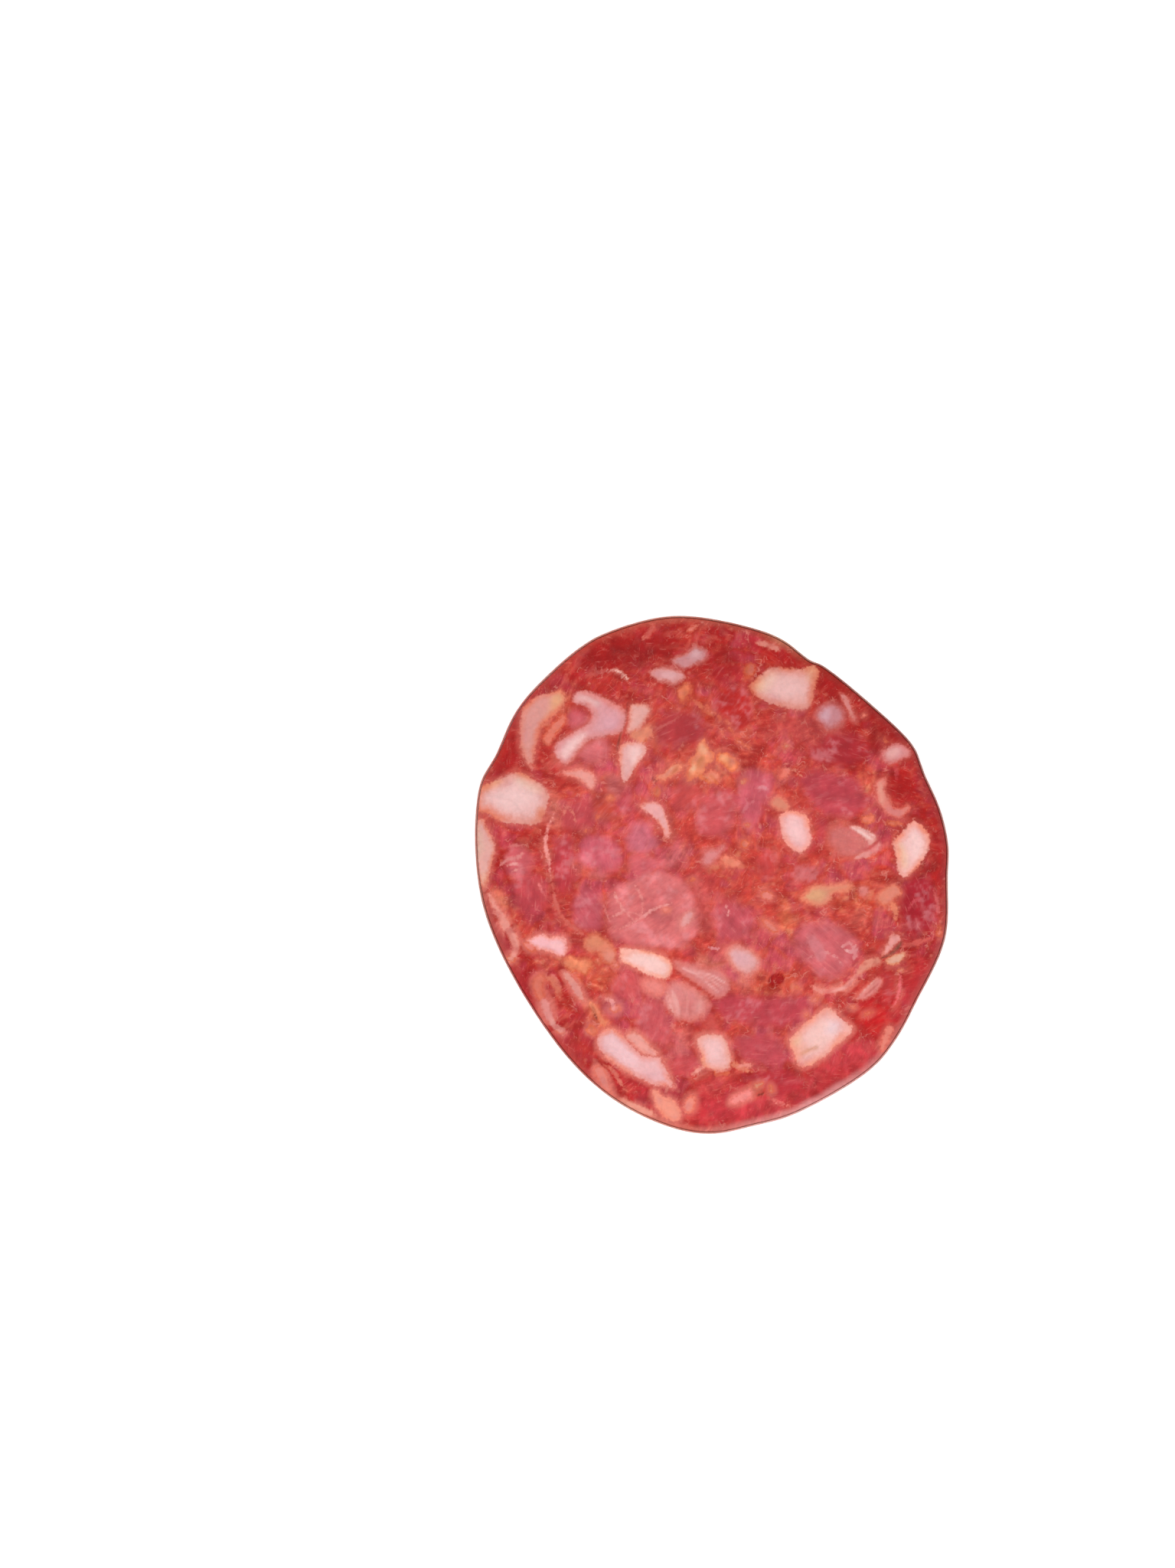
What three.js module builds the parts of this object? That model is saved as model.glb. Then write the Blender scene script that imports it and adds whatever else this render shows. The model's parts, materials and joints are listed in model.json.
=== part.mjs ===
// One thin slice of a dry-cured sausage, about 60 mm across, lying flat on its cut face.
// Millimetres, +Z up. The origin is on the surface it lies on, under the middle of its box.
//
// Two pieces come apart on a bench:
//   meat_slice  the round of bound lean, fat and seasoned paste
//   casing      the thin dry skin that the sausage was stuffed into, left as a ring round the cut
import * as THREE from 'three';

// Overall sizes, casing included
const SLICE_WIDTH = 58.8; // along X
const SLICE_LENGTH = 64.3; // along Y
const SLICE_THICKNESS = 1.6; // along Z

// The casing
const CASING_WALL = 0.22;
const CASING_SHRINKAGE = 0.04; // how far each of its cut edges lies below the slice's face
const CASING_CLEARANCE = 0.03; // between the casing and the meat, all the way round
const CASING_EDGE_ROUNDING = 0.05;

// The meat
const MEAT_EDGE_ROUNDING = 0.15; // the knife leaves the rim of each face slightly soft

// How finely the round outline and the rounded edges are divided
const STEPS_AROUND = 120;
const EDGE_STEPS = 2;

// The sausage dried unevenly, so its round is a little long, flat on the left and low on the
// upper right, with a small nick beside the top. These points go once round the outside of the
// casing, counter-clockwise from the right, and a smooth closed curve joins them. They give the
// shape only: the curve is scaled to SLICE_WIDTH and SLICE_LENGTH.
const OUTLINE_POINTS = [
  [29.1, 0], [29.2, 3.5], [28.2, 8], [26, 13], [25.4, 15], [24, 17],
  [13, 26.3], [11.8, 26.6], [10, 28.2], [7, 29.9], [-4.5, 32.1], [-13, 30.1],
  [-16.5, 28.2], [-23, 22.2], [-25, 19.3], [-27, 14.7], [-29, 11], [-28.6, -3.8],
  [-20.5, -19.6], [-13, -27.5], [-5, -31.5], [0, -32.2], [5, -31.2], [10, -29.8],
  [19.8, -24], [23, -20], [25.1, -16], [28.8, -8],
];

// The outside of the slice: the curve, stepped evenly, then stretched and centred on its box
function sliceOutline() {
  const corners = OUTLINE_POINTS.map(([x, y]) => new THREE.Vector3(x, y, 0));
  const curve = new THREE.CatmullRomCurve3(corners, true, 'centripetal');
  const points = curve.getSpacedPoints(STEPS_AROUND).slice(0, STEPS_AROUND);
  const box = new THREE.Box3().setFromPoints(points);
  const centre = box.getCenter(new THREE.Vector3());
  const size = box.getSize(new THREE.Vector3());
  return points.map((point) => new THREE.Vector2(
    ((point.x - centre.x) * SLICE_WIDTH) / size.x,
    ((point.y - centre.y) * SLICE_LENGTH) / size.y,
  ));
}

// The same outline moved inwards everywhere by a distance, square to the outline
function movedInwards(outline, distance) {
  const count = outline.length;
  return outline.map((point, index) => {
    const before = outline[(index + count - 1) % count];
    const after = outline[(index + 1) % count];
    const along = after.clone().sub(before).normalize();
    return new THREE.Vector2(point.x - along.y * distance, point.y + along.x * distance);
  });
}

// A flat piece of the given outline from one height to another, with its edges rounded. An
// opening, if there is one, is the outline of the hole through it.
function roundedPlate(outline, opening, bottom, top, rounding) {
  const shape = new THREE.Shape(outline);
  if (opening) {
    shape.holes.push(new THREE.Path(opening));
  }
  const geometry = new THREE.ExtrudeGeometry(shape, {
    depth: top - bottom - 2 * rounding,
    bevelEnabled: true,
    bevelThickness: rounding,
    bevelSize: rounding,
    bevelOffset: -rounding,
    bevelSegments: EDGE_STEPS,
  });
  geometry.translate(0, 0, bottom + rounding);
  return geometry;
}

const outside = sliceOutline();
const casingInside = movedInwards(outside, CASING_WALL);
const meatOutside = movedInwards(outside, CASING_WALL + CASING_CLEARANCE);

// Lean, fat and paste are bound into one round, so they are one piece
function meatSlice() {
  const geometry = roundedPlate(meatOutside, null, 0, SLICE_THICKNESS, MEAT_EDGE_ROUNDING);
  const material = new THREE.MeshStandardMaterial({
    color: 0xc23f40,
    roughness: 0.45,
    metalness: 0,
  });
  const mesh = new THREE.Mesh(geometry, material);
  mesh.name = 'meat_slice';
  return mesh;
}

// The skin stands round the meat and stops just short of both faces
function casing() {
  const bottom = CASING_SHRINKAGE;
  const top = SLICE_THICKNESS - CASING_SHRINKAGE;
  const rounding = Math.min(CASING_EDGE_ROUNDING, CASING_WALL / 3);
  const geometry = roundedPlate(outside, casingInside, bottom, top, rounding);
  const material = new THREE.MeshStandardMaterial({
    color: 0x84655a,
    roughness: 0.6,
    metalness: 0,
  });
  const mesh = new THREE.Mesh(geometry, material);
  mesh.name = 'casing';
  return mesh;
}

const group = new THREE.Group();
group.add(meatSlice(), casing());

export default group;
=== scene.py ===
# One slice of dry-cured sausage, lying on its cut face and seen from straight above.
# Blender 4.5. Object sizes are in metres; what is drawn on the cut face is in millimetres.
import json
import math

import bmesh
import bpy
import numpy as np
from mathutils import Matrix, Vector, noise

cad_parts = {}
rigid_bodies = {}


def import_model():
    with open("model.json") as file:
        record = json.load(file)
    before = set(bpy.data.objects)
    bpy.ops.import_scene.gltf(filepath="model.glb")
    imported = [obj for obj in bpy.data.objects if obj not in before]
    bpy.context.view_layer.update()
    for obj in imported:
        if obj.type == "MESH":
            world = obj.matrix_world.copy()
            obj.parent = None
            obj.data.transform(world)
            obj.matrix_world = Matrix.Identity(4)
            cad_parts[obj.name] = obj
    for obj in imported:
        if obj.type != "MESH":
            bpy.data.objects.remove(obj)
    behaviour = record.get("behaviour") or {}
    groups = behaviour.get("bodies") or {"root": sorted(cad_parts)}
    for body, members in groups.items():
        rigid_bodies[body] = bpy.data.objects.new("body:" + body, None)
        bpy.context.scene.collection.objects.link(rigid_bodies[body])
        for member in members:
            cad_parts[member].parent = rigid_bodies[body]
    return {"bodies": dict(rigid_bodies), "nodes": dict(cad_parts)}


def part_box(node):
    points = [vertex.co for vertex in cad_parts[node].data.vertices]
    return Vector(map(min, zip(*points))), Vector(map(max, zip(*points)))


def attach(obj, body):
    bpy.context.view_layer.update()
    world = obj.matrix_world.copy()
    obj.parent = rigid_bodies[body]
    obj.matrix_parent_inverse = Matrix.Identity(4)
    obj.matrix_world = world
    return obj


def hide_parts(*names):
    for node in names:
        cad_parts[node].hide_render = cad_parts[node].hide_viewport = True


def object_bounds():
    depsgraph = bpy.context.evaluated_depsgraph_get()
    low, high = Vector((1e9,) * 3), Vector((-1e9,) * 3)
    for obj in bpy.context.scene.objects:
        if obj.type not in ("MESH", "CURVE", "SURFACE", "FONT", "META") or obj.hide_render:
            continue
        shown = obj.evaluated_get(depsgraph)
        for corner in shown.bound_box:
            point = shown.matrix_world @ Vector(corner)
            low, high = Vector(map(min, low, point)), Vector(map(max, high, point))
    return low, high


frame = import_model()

MM = 0.001
cad_low, cad_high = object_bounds()
scene = bpy.context.scene
root_body = sorted(frame["bodies"])[0]

# ---------------------------------------------------------------- camera
# A long lens looks straight down from above and to the left of the slice, so that the slice
# lies low and right in the picture.
VIEW_HEIGHT = 0.1946  # of the picture, measured at the cut face
VIEW_CENTRE = (-0.01544, 0.01126)
SENSOR = 36
LENS = 120

camera = bpy.data.objects.new("camera", bpy.data.cameras.new("camera"))
camera.data.sensor_fit = "VERTICAL"
camera.data.sensor_height = SENSOR
camera.data.lens = LENS
camera.data.clip_end = 20
camera.location = (*VIEW_CENTRE, cad_high.z + VIEW_HEIGHT * LENS / SENSOR)
scene.collection.objects.link(camera)
scene.camera = camera

# ---------------------------------------------------------------- meat_slice
# A round of coarse mince: cubes of lean, dice of white back fat and bits of sinew in a paste
# of fine meat, paprika and fat, bound into one solid by fermenting and drying. The knife cut
# it thin, so the same bits show on both faces, a little shifted where they run on a slant.
meat = frame["nodes"]["meat_slice"]
meat_low, meat_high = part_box("meat_slice")
thickness_mm = (meat_high.z - meat_low.z) / MM

RIM_ROUNDING = 0.15
TOP_STEPS = 256
UNDER_STEPS = 128
SLANT = (0.28, -0.2)  # how far the bits shift sideways for each mm that they go down


def rim_radius(node, angles):
    """A CAD piece's outer wall at its widest level: its radius in mm at each angle, with its
    flats smoothed into one curve."""
    corners = np.array([v.co for v in node.data.vertices], float) / MM
    level = corners[np.argmax(corners[:, 0]), 2]
    ring = corners[np.abs(corners[:, 2] - level) < 0.001]
    turns = np.arctan2(ring[:, 1], ring[:, 0])
    radii = np.hypot(ring[:, 0], ring[:, 1])
    apart = np.abs((turns[:, None] - turns + math.pi) % (2 * math.pi) - math.pi)
    # Points of the inner wall lie further in than the outermost one in their own direction
    widest = np.where(apart < 0.02, radii, 0).max(axis=1)
    turns, radii = turns[radii > widest - 0.05], radii[radii > widest - 0.05]
    order = np.argsort(turns)
    fine_turns = np.arange(720) * math.pi / 360
    fine_radii = np.interp(fine_turns, turns[order], radii[order], period=2 * math.pi)
    smooth = sum(np.roll(fine_radii, step) for step in range(-2, 3)) / 5
    return np.interp(angles, fine_turns, smooth, period=2 * math.pi)


def smooth_step(value, low, high):
    """Rises from 0 to 1 between low and high, easing in and out."""
    part = np.clip((value - low) / (high - low), 0, 1)
    return part * part * (3 - 2 * part)


def linear(code):
    """An sRGB hex colour as linear red, green and blue."""
    parts = [int(code[i:i + 2], 16) / 255 for i in (1, 3, 5)]
    return tuple(p / 12.92 if p <= 0.04045 else ((p + 0.055) / 1.055) ** 2.4 for p in parts)


def softened(corners, closed=True):
    """A smooth line through given points, with three steps from each to the next."""
    corners = np.array(corners, float)
    count = len(corners)
    line = []
    for i in range(count if closed else count - 1):
        if closed:
            before, a, b, after = (corners[(i + k) % count] for k in (-1, 0, 1, 2))
        else:
            a, b = corners[i], corners[i + 1]
            before = corners[max(i - 1, 0)]
            after = corners[min(i + 2, count - 1)]
        for t in (0, 1 / 3, 2 / 3):
            line.append(
                a + 0.5 * t * (b - before)
                + t * t * (before - 2.5 * a + 2 * b - 0.5 * after)
                + 0.5 * t ** 3 * (3 * a - 3 * b + after - before)
            )
    if not closed:
        line.append(corners[-1])
    return np.array(line)


def depth_in_shape(places, corners, reach=3.0):
    """How far inside an outline each place lies, in mm: negative outside, down to -reach."""
    line = softened(corners)
    depth = np.full(len(places), -reach)
    low, high = line.min(axis=0) - reach, line.max(axis=0) + reach
    near = np.where(np.all((places > low) & (places < high), axis=1))[0]
    spots = places[near]
    closest = np.full(len(near), reach)
    inside = np.zeros(len(near), bool)
    for a, b in zip(line, np.roll(line, -1, axis=0)):
        edge = b - a
        along = np.clip((spots - a) @ edge / max(edge @ edge, 1e-9), 0, 1)
        closest = np.minimum(closest, np.linalg.norm(spots - a - along[:, None] * edge, axis=1))
        if a[1] != b[1]:
            crosses = (a[1] > spots[:, 1]) != (b[1] > spots[:, 1])
            inside ^= crosses & (
                spots[:, 0] < a[0] + (spots[:, 1] - a[1]) * edge[0] / edge[1]
            )
    depth[near] = np.where(inside, closest, -closest)
    return depth


def depth_in_strand(places, corners, width, reach=3.0):
    """The same for a strand along a line: half its width less the distance from the line."""
    line = softened(corners, closed=False)
    depth = np.full(len(places), -reach)
    low, high = line.min(axis=0) - reach, line.max(axis=0) + reach
    near = np.where(np.all((places > low) & (places < high), axis=1))[0]
    spots = places[near]
    closest = np.full(len(near), reach)
    steps = len(line) - 1
    for i in range(steps):
        edge = line[i + 1] - line[i]
        along = np.clip((spots - line[i]) @ edge / max(edge @ edge, 1e-9), 0, 1)
        taper = math.sin(math.pi * (i + 0.5) / steps) ** 0.5
        distance = np.linalg.norm(spots - line[i] - along[:, None] * edge, axis=1)
        closest = np.minimum(closest, distance - 0.5 * width * taper)
    depth[near] = -closest
    return depth


def oval(x, y, long_radius, short_radius, turn):
    """An oval as ten points: its middle and its two radii in mm, and its turn in degrees."""
    turn = math.radians(turn)
    outline = []
    for i in range(10):
        angle = 2 * math.pi * i / 10
        u, v = long_radius * math.cos(angle), short_radius * math.sin(angle)
        outline.append((
            x + u * math.cos(turn) - v * math.sin(turn),
            y + u * math.sin(turn) + v * math.cos(turn),
        ))
    return outline


# The paste: pinker in the middle, deeper red towards the rim where the slice dried first
PASTE_MIDDLE = "#C6463F"
PASTE_RIM = "#AE2A29"
SEAM = "#D8614A"
# The outermost millimetre and the casing over it, by direction in degrees counter-clockwise
# from the right: dried dark at the right, orange at the top, pale with thin fat at the bottom
EDGE_TONES = [
    (0, "#A63E3D"), (30, "#98393A"), (60, "#9A332D"), (68, "#A4483A"), (74, "#BC7A62"),
    (79, "#A84A3E"), (100, "#BC6152"), (120, "#B7453B"), (140, "#B24240"),
    (150, "#B0322C"), (180, "#B86A5C"), (210, "#B03438"), (238, "#BC4C46"), (252, "#E08C7C"),
    (265, "#D47468"), (293, "#E8A6A4"), (302, "#E09A98"), (314, "#D07C78"), (328, "#BC5450"),
    (345, "#B05250"),
]
# A zone counts as oily when it is bright and orange, and as stained when dark or crimson
OILY_RED, OILY_GREEN_TO_BLUE = 0.58, 1.35
STAINED_RED, STAINED_GREEN_TO_BLUE = 0.48, 1.05

# Zones of the paste with their own colour: colour, how much it covers, how soft its edge is in
# mm, outline. Stained dark red, oily orange, or brighter pink-red.
ZONES = [
    ("#A01C20", 0.95, 1.2, oval(-10, 27.6, 6.5, 2, 12)),
    ("#AC201E", 0.95, 1.2, oval(-25, 16.2, 4.4, 1.7, 62)),
    ("#A2181A", 0.95, 1, oval(14.4, 24, 2.2, 1.4, -50)),
    ("#AC2222", 0.95, 1, oval(8, 27.3, 3.4, 1, -25)),
    ("#9E1C22", 0.9, 1.2, oval(21.5, 18.3, 3.4, 1.3, -50)),
    ("#B82626", 0.95, 1, oval(23.6, 11, 1.6, 1.9, 0)),
    ("#B42C2A", 0.95, 1, oval(28.1, 2, 0.9, 4.5, 0)),
    ("#941820", 0.95, 0.8, oval(20.2, 17, 1, 2.3, 0)),
    ("#C6282C", 0.8, 1.4, oval(21, -16.6, 3.4, 2.6, 50)),
    ("#C43A3E", 0.9, 1.4, oval(25.4, -13.4, 3.4, 1.4, 60)),
    ("#CE444A", 0.95, 1.6, oval(15.6, -24.6, 6.4, 2.4, 32)),
    ("#D4444C", 0.95, 1.6, oval(3, -28.6, 6.4, 2.2, 6)),
    ("#A8242A", 0.95, 1, oval(-23, -14.8, 1.3, 3.2, 22)),
    ("#AA2226", 0.9, 1, oval(-20.2, -20.6, 1, 2.6, 42)),
    ("#B43834", 0.8, 1.2, oval(-17, -22, 2.4, 1.8, 45)),
    ("#9E1418", 0.95, 1, oval(1.2, 25.8, 2.2, 2.2, 0)),
    ("#B22A28", 0.7, 1, oval(18.2, 13.3, 1.4, 2, 30)),
    ("#CA4448", 0.8, 1.2, oval(9, -28, 3.6, 1.2, 20)),
    ("#D65849", 0.8, 0.8, oval(19.1, 11.6, 1.2, 2, -10)),
    ("#C02E1E", 0.95, 0.8, oval(21.4, 2.4, 1, 2.4, 5)),
    ("#E87454", 0.85, 0.7, oval(9.4, -5.6, 0.8, 2.8, 8)),
    ("#C44A48", 0.6, 1, oval(-19.6, -4.6, 1, 3.6, 20)),
    ("#C44C4A", 0.6, 0.9, oval(-17.2, -8, 2.6, 0.9, -35)),
    ("#DC6046", 0.7, 0.9, oval(-14.6, -12.3, 3.4, 1.5, -20)),
    ("#E67858", 0.7, 0.9, oval(-14.2, -17.6, 1.1, 2.6, 30)),
    ("#AC3C28", 0.8, 1, oval(-2.6, 21.3, 3.4, 1.4, -40)),
    ("#CE5642", 0.6, 1.1, oval(-1.4, 13.2, 5.6, 2.2, 8)),
    ("#D8573C", 0.6, 1, oval(-19.2, 19.5, 1, 3.2, -30)),
    ("#CC5240", 0.6, 0.9, oval(2.2, 1.4, 2.6, 1.8, 20)),
    ("#D0543C", 0.7, 0.9, oval(16, -2.6, 5.6, 1.6, 0)),
    ("#D95A3E", 0.6, 1, oval(20.6, -2.6, 2.8, 1.6, -10)),
    ("#B6403A", 0.7, 0.9, oval(10, 8.6, 3.4, 1, 30)),
    ("#D85A40", 0.6, 0.9, oval(7.4, -13.2, 3.4, 1.8, -10)),
    ("#CE5440", 0.6, 0.8, oval(6.2, -26.6, 1.8, 1, 10)),
    ("#D23C42", 0.85, 0.9, oval(-4, -29.2, 4, 1.4, -10)),
    ("#BC5240", 0.5, 0.9, oval(-7.4, 17, 1.2, 2.4, 10)),
    ("#EA8676", 0.7, 0.9, oval(-19.6, 7.8, 1.1, 2.4, 10)),
    ("#D8685E", 0.6, 1, oval(3.6, -13.6, 2.2, 1.2, -30)),
    ("#A0302E", 0.8, 1, oval(14.4, 17.4, 1.4, 1, 0)),
    ("#BC3E3A", 0.7, 1.2, oval(10, 16.6, 3.4, 2.4, 0)),
    ("#CE3E44", 0.8, 1.2, oval(-9.6, -26.2, 2.2, 1, -30)),
    ("#EA8268", 0.85, 0.8, oval(-26.2, -3.2, 0.9, 1.6, 20)),
    ("#CC5E5C", 0.8, 1.4, oval(-1.4, -3.4, 1.6, 3.6, 15)),
    ("#B85050", 0.6, 1.4, oval(12.4, 17.8, 4.6, 2.2, -15)),
    ("#E27E6E", 0.8, 0.7, oval(0.2, -11, 1.8, 0.7, -15)),
    ("#DE7472", 0.8, 0.7, oval(-14, 0, 1.3, 0.6, -10)),
    ("#D86C5C", 0.7, 0.8, oval(-19.8, -10.6, 1.8, 0.8, 0)),
    ("#DC6E60", 0.7, 0.7, oval(18.2, -5.4, 1.1, 1.2, 0)),
    ("#9C2A2C", 0.8, 0.5, oval(-13.3, 26.2, 1.3, 0.5, 5)),
    ("#B83A3C", 0.7, 0.8, oval(15.2, 16, 1.3, 0.8, 0)),
    ("#DE7E7C", 1, 0.8, oval(-11.9, 11, 1.1, 1.4, 20)),
    ("#AE3A36", 0.75, 0.7, oval(-5.8, 15, 1.5, 0.9, 15)),
    ("#E07C76", 0.9, 0.9, oval(-4.8, 2.2, 1.9, 1.1, 30)),
    ("#DE585A", 0.8, 1, oval(0.2, -26, 2, 0.9, 15)),
    ("#DE7270", 0.7, 0.9, oval(-17.4, 13.2, 2, 0.8, -25)),
    ("#DE8070", 0.8, 0.8, oval(-8.6, 17.2, 1.5, 1.2, 0)),
    ("#D25040", 0.7, 0.8, oval(-23.6, -6.6, 1, 2.6, 30)),
    ("#E27876", 0.8, 1, oval(-3.9, -21, 1.2, 2, 0)),
    ("#DC7468", 0.7, 0.6, oval(-6, -23.2, 0.7, 0.9, -50)),
]

# Cubes and trimmings of lean: colour, which way the fibres run in degrees, outline
LEAN = [
    ("#D87474", 35, [(-12, -1.5), (-10.5, -0.8), (-8, 0.6), (-5, 0.3), (-3.2, -1.2), (-2.4, -3),
                     (-1.6, -5.5), (-2.2, -7.8), (-4, -9), (-7, -9), (-10, -8.8), (-12.5, -7.5),
                     (-13, -5), (-12.8, -3)]),
    ("#D06370", 100, [(-16.5, 3), (-15.8, 4.4), (-14.2, 4.9), (-12.5, 4.3), (-11.5, 3.2),
                      (-11.3, 1.8), (-12, 0.7), (-13.5, 0.3), (-15.2, 0.6), (-16.3, 1.6)]),
    ("#D87684", 60, [(-10.6, 4.5), (-10, 6), (-9, 6.6), (-7.8, 6.2), (-7, 5.2), (-6.6, 4.2),
                     (-7, 3), (-8.4, 2.6), (-9.8, 3)]),
    ("#D2646A", 20, [(-10.5, 0.9), (-9.4, 2.2), (-7.6, 2.4), (-6, 1.8), (-5.8, 0.7), (-7.4, 0.8),
                     (-9.2, 0)]),
    ("#CA5E6A", 80, [(3.5, 12.3), (4.6, 13.2), (5.8, 13.2), (7.2, 12.4), (7.6, 11), (7.2, 9.8),
                     (6.5, 8.5), (6, 6.5), (4.6, 5), (3.6, 6.5), (3.4, 8.5), (3.3, 10.5)]),
    ("#CA585C", 10, [(-2, 6.2), (-1, 9.4), (1.2, 10.6), (3, 9.6), (2.9, 7), (1.8, 5), (-0.6, 4.9)]),
    ("#C9514E", 30, [(-5.3, 10.2), (-3.8, 11.4), (-1.8, 11), (-1.2, 9.4), (-2.6, 8.2),
                     (-4.6, 8.4)]),
    ("#BC4852", 15, [(10.8, 11.5), (12, 12.8), (14.5, 13), (17.2, 12.2), (18.8, 10.8),
                     (19.3, 8.8), (17.5, 7.2), (15, 7.2), (13.5, 7.8), (12.2, 9.2)]),
    ("#A83238", 165, [(12, 15.2), (14, 16.8), (17.4, 17.6), (19.4, 16.2), (19.2, 14.2),
                      (16, 13.6), (13, 13.8)]),
    ("#D26A70", 140, [(10.9, -6.6), (12, -6), (13.5, -5.8), (15.2, -6), (16.8, -6.8), (17.8, -8),
                      (18, -9.6), (17.2, -11), (16.2, -12.2), (14.8, -12.9), (13.2, -12.4),
                      (11.8, -11.4), (10.6, -9.8), (10.4, -8)]),
    ("#A62A34", 115, [(23.4, -2), (24.6, -0.4), (26.8, -0.8), (27.8, -3.4), (27.2, -6.4),
                      (25.4, -7.8), (23.8, -6), (23.4, -4)]),
    ("#B5454A", 55, [(-27.9, -5.2), (-27, -5.6), (-25.8, -7.5), (-25.2, -9), (-25.3, -9.9),
                     (-26, -9.6), (-27, -7.8)]),
    ("#C64E54", 90, [(-24.5, -0.8), (-22.6, 0.2), (-20.7, -0.6), (-20.3, -2.8), (-21.4, -4.4),
                     (-23.6, -4.2), (-24.6, -2.6)]),
    ("#D2646A", 5, [(-25.6, 1.6), (-24.8, 3.4), (-23, 3.4), (-22.2, 1.6), (-22.8, -0.2),
                    (-24.8, -0.2)]),
    ("#BC4048", 80, [(-19.8, -0.6), (-19.4, 3.6), (-18, 5), (-17, 3.4), (-17, 0.4), (-17.6, -1.6),
                     (-19, -2)]),
    ("#C25A64", 125, [(-17, -3.4), (-15.8, -1.8), (-14, -2.4), (-13.4, -4.8), (-14.2, -6.8),
                      (-16, -6.8), (-17.2, -5.2)]),
    ("#BE4852", 5, [(0.8, -15.6), (3, -14.8), (6, -15.2), (9.5, -15), (12, -15.5), (11.8, -17),
                    (10.5, -18.5), (8, -19), (5, -18.6), (2.5, -18.2), (1, -17.2)]),
    ("#C45058", 175, [(3.2, -20.2), (6, -19.8), (8.6, -20.4), (9, -22.4), (7.8, -23.6),
                      (5, -23.4), (3.2, -22.4)]),
    ("#CE5C61", 75, [(-9.5, -17), (-8.6, -15.6), (-6.4, -15.7), (-5.6, -17.6), (-5, -19.4),
                     (-5.8, -21), (-7.6, -20.8), (-9, -19.4)]),
    ("#D05456", 20, [(-5.3, -23.4), (-4, -22.5), (-2, -22.8), (-1.7, -24.2), (-3.2, -24.9),
                     (-4.9, -24.6)]),
    ("#B8363E", 10, [(5, -25), (7.4, -24.3), (10.2, -24.8), (11, -26.2), (9, -27.4), (6.6, -27)]),
    ("#D25A5C", 110, [(-11.2, -12), (-9.6, -12.2), (-8.6, -13), (-8.2, -14), (-8.8, -15),
                      (-10.2, -15.2), (-11.8, -14.8), (-12.5, -13.5)]),
    ("#C5575F", 130, [(0.3, -4), (1.5, -3.2), (3, -3.5), (4.8, -4.8), (5.2, -6.5), (4.2, -8),
                      (2, -8.2), (0.6, -7)]),
    ("#B6302E", 50, [(0.2, 21), (1.8, 23.4), (4.2, 23.2), (5, 20.8), (4.2, 18.6), (1.6, 18)]),
    ("#AE3E42", 25, [(-7, 18.4), (-5, 20.2), (-2.4, 20), (-0.6, 18.4), (-1.2, 16.6), (-4, 16),
                     (-6.6, 16.6)]),
    ("#C65054", 70, [(-18.8, 6.6), (-17.6, 8.8), (-15.2, 9.3), (-14.2, 7.6), (-15, 5.8),
                     (-17.4, 5.4)]),
    ("#CC626A", 40, [(-17.2, 20.4), (-16, 20.2), (-15.3, 19.4), (-15.6, 18.4), (-17, 18.2),
                     (-17.9, 18.9), (-17.9, 19.9)]),
    ("#CF6B6E", 160, [(-16.2, 16), (-14.2, 17), (-12.8, 16.7), (-12.7, 15.2), (-13.5, 14),
                      (-15, 13.9), (-16.4, 14.8)]),
    ("#B63C34", 60, [(9.6, 0.4), (11.4, 1.6), (13.4, 0.6), (13, -0.8), (10.8, -1)]),
    ("#C64846", 95, [(5.6, 1.6), (7.2, 3.2), (8.2, 1.8), (7.6, -0.2), (6, -0.2)]),
    ("#D05A52", 150, [(-1, -19), (-0.2, -17.4), (0.8, -18.4), (0.4, -19.6)]),
    ("#C0444C", 30, [(9, 1.6), (12, 3), (14.2, 4.6), (14.4, 7), (13.2, 6.6), (12.6, 3.4)]),
    ("#C04040", 20, [(20.6, -12.4), (22.6, -12.6), (23, -15), (21.6, -15.8), (20.8, -14.4)]),
    ("#C24C3E", 45, [(-13.2, 10.4), (-12, 9.4), (-12.2, 7), (-13.6, 6.4), (-14.6, 7.8),
                     (-14.4, 9.6)]),
    ("#C4606A", 0, oval(-12.3, -16.5, 1.2, 1.1, 0)),
    ("#C8525A", 60, [(-11.4, 9.8), (-10, 10.8), (-9.6, 9.4), (-10.4, 7.6), (-11.6, 7.8)]),
]

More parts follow.
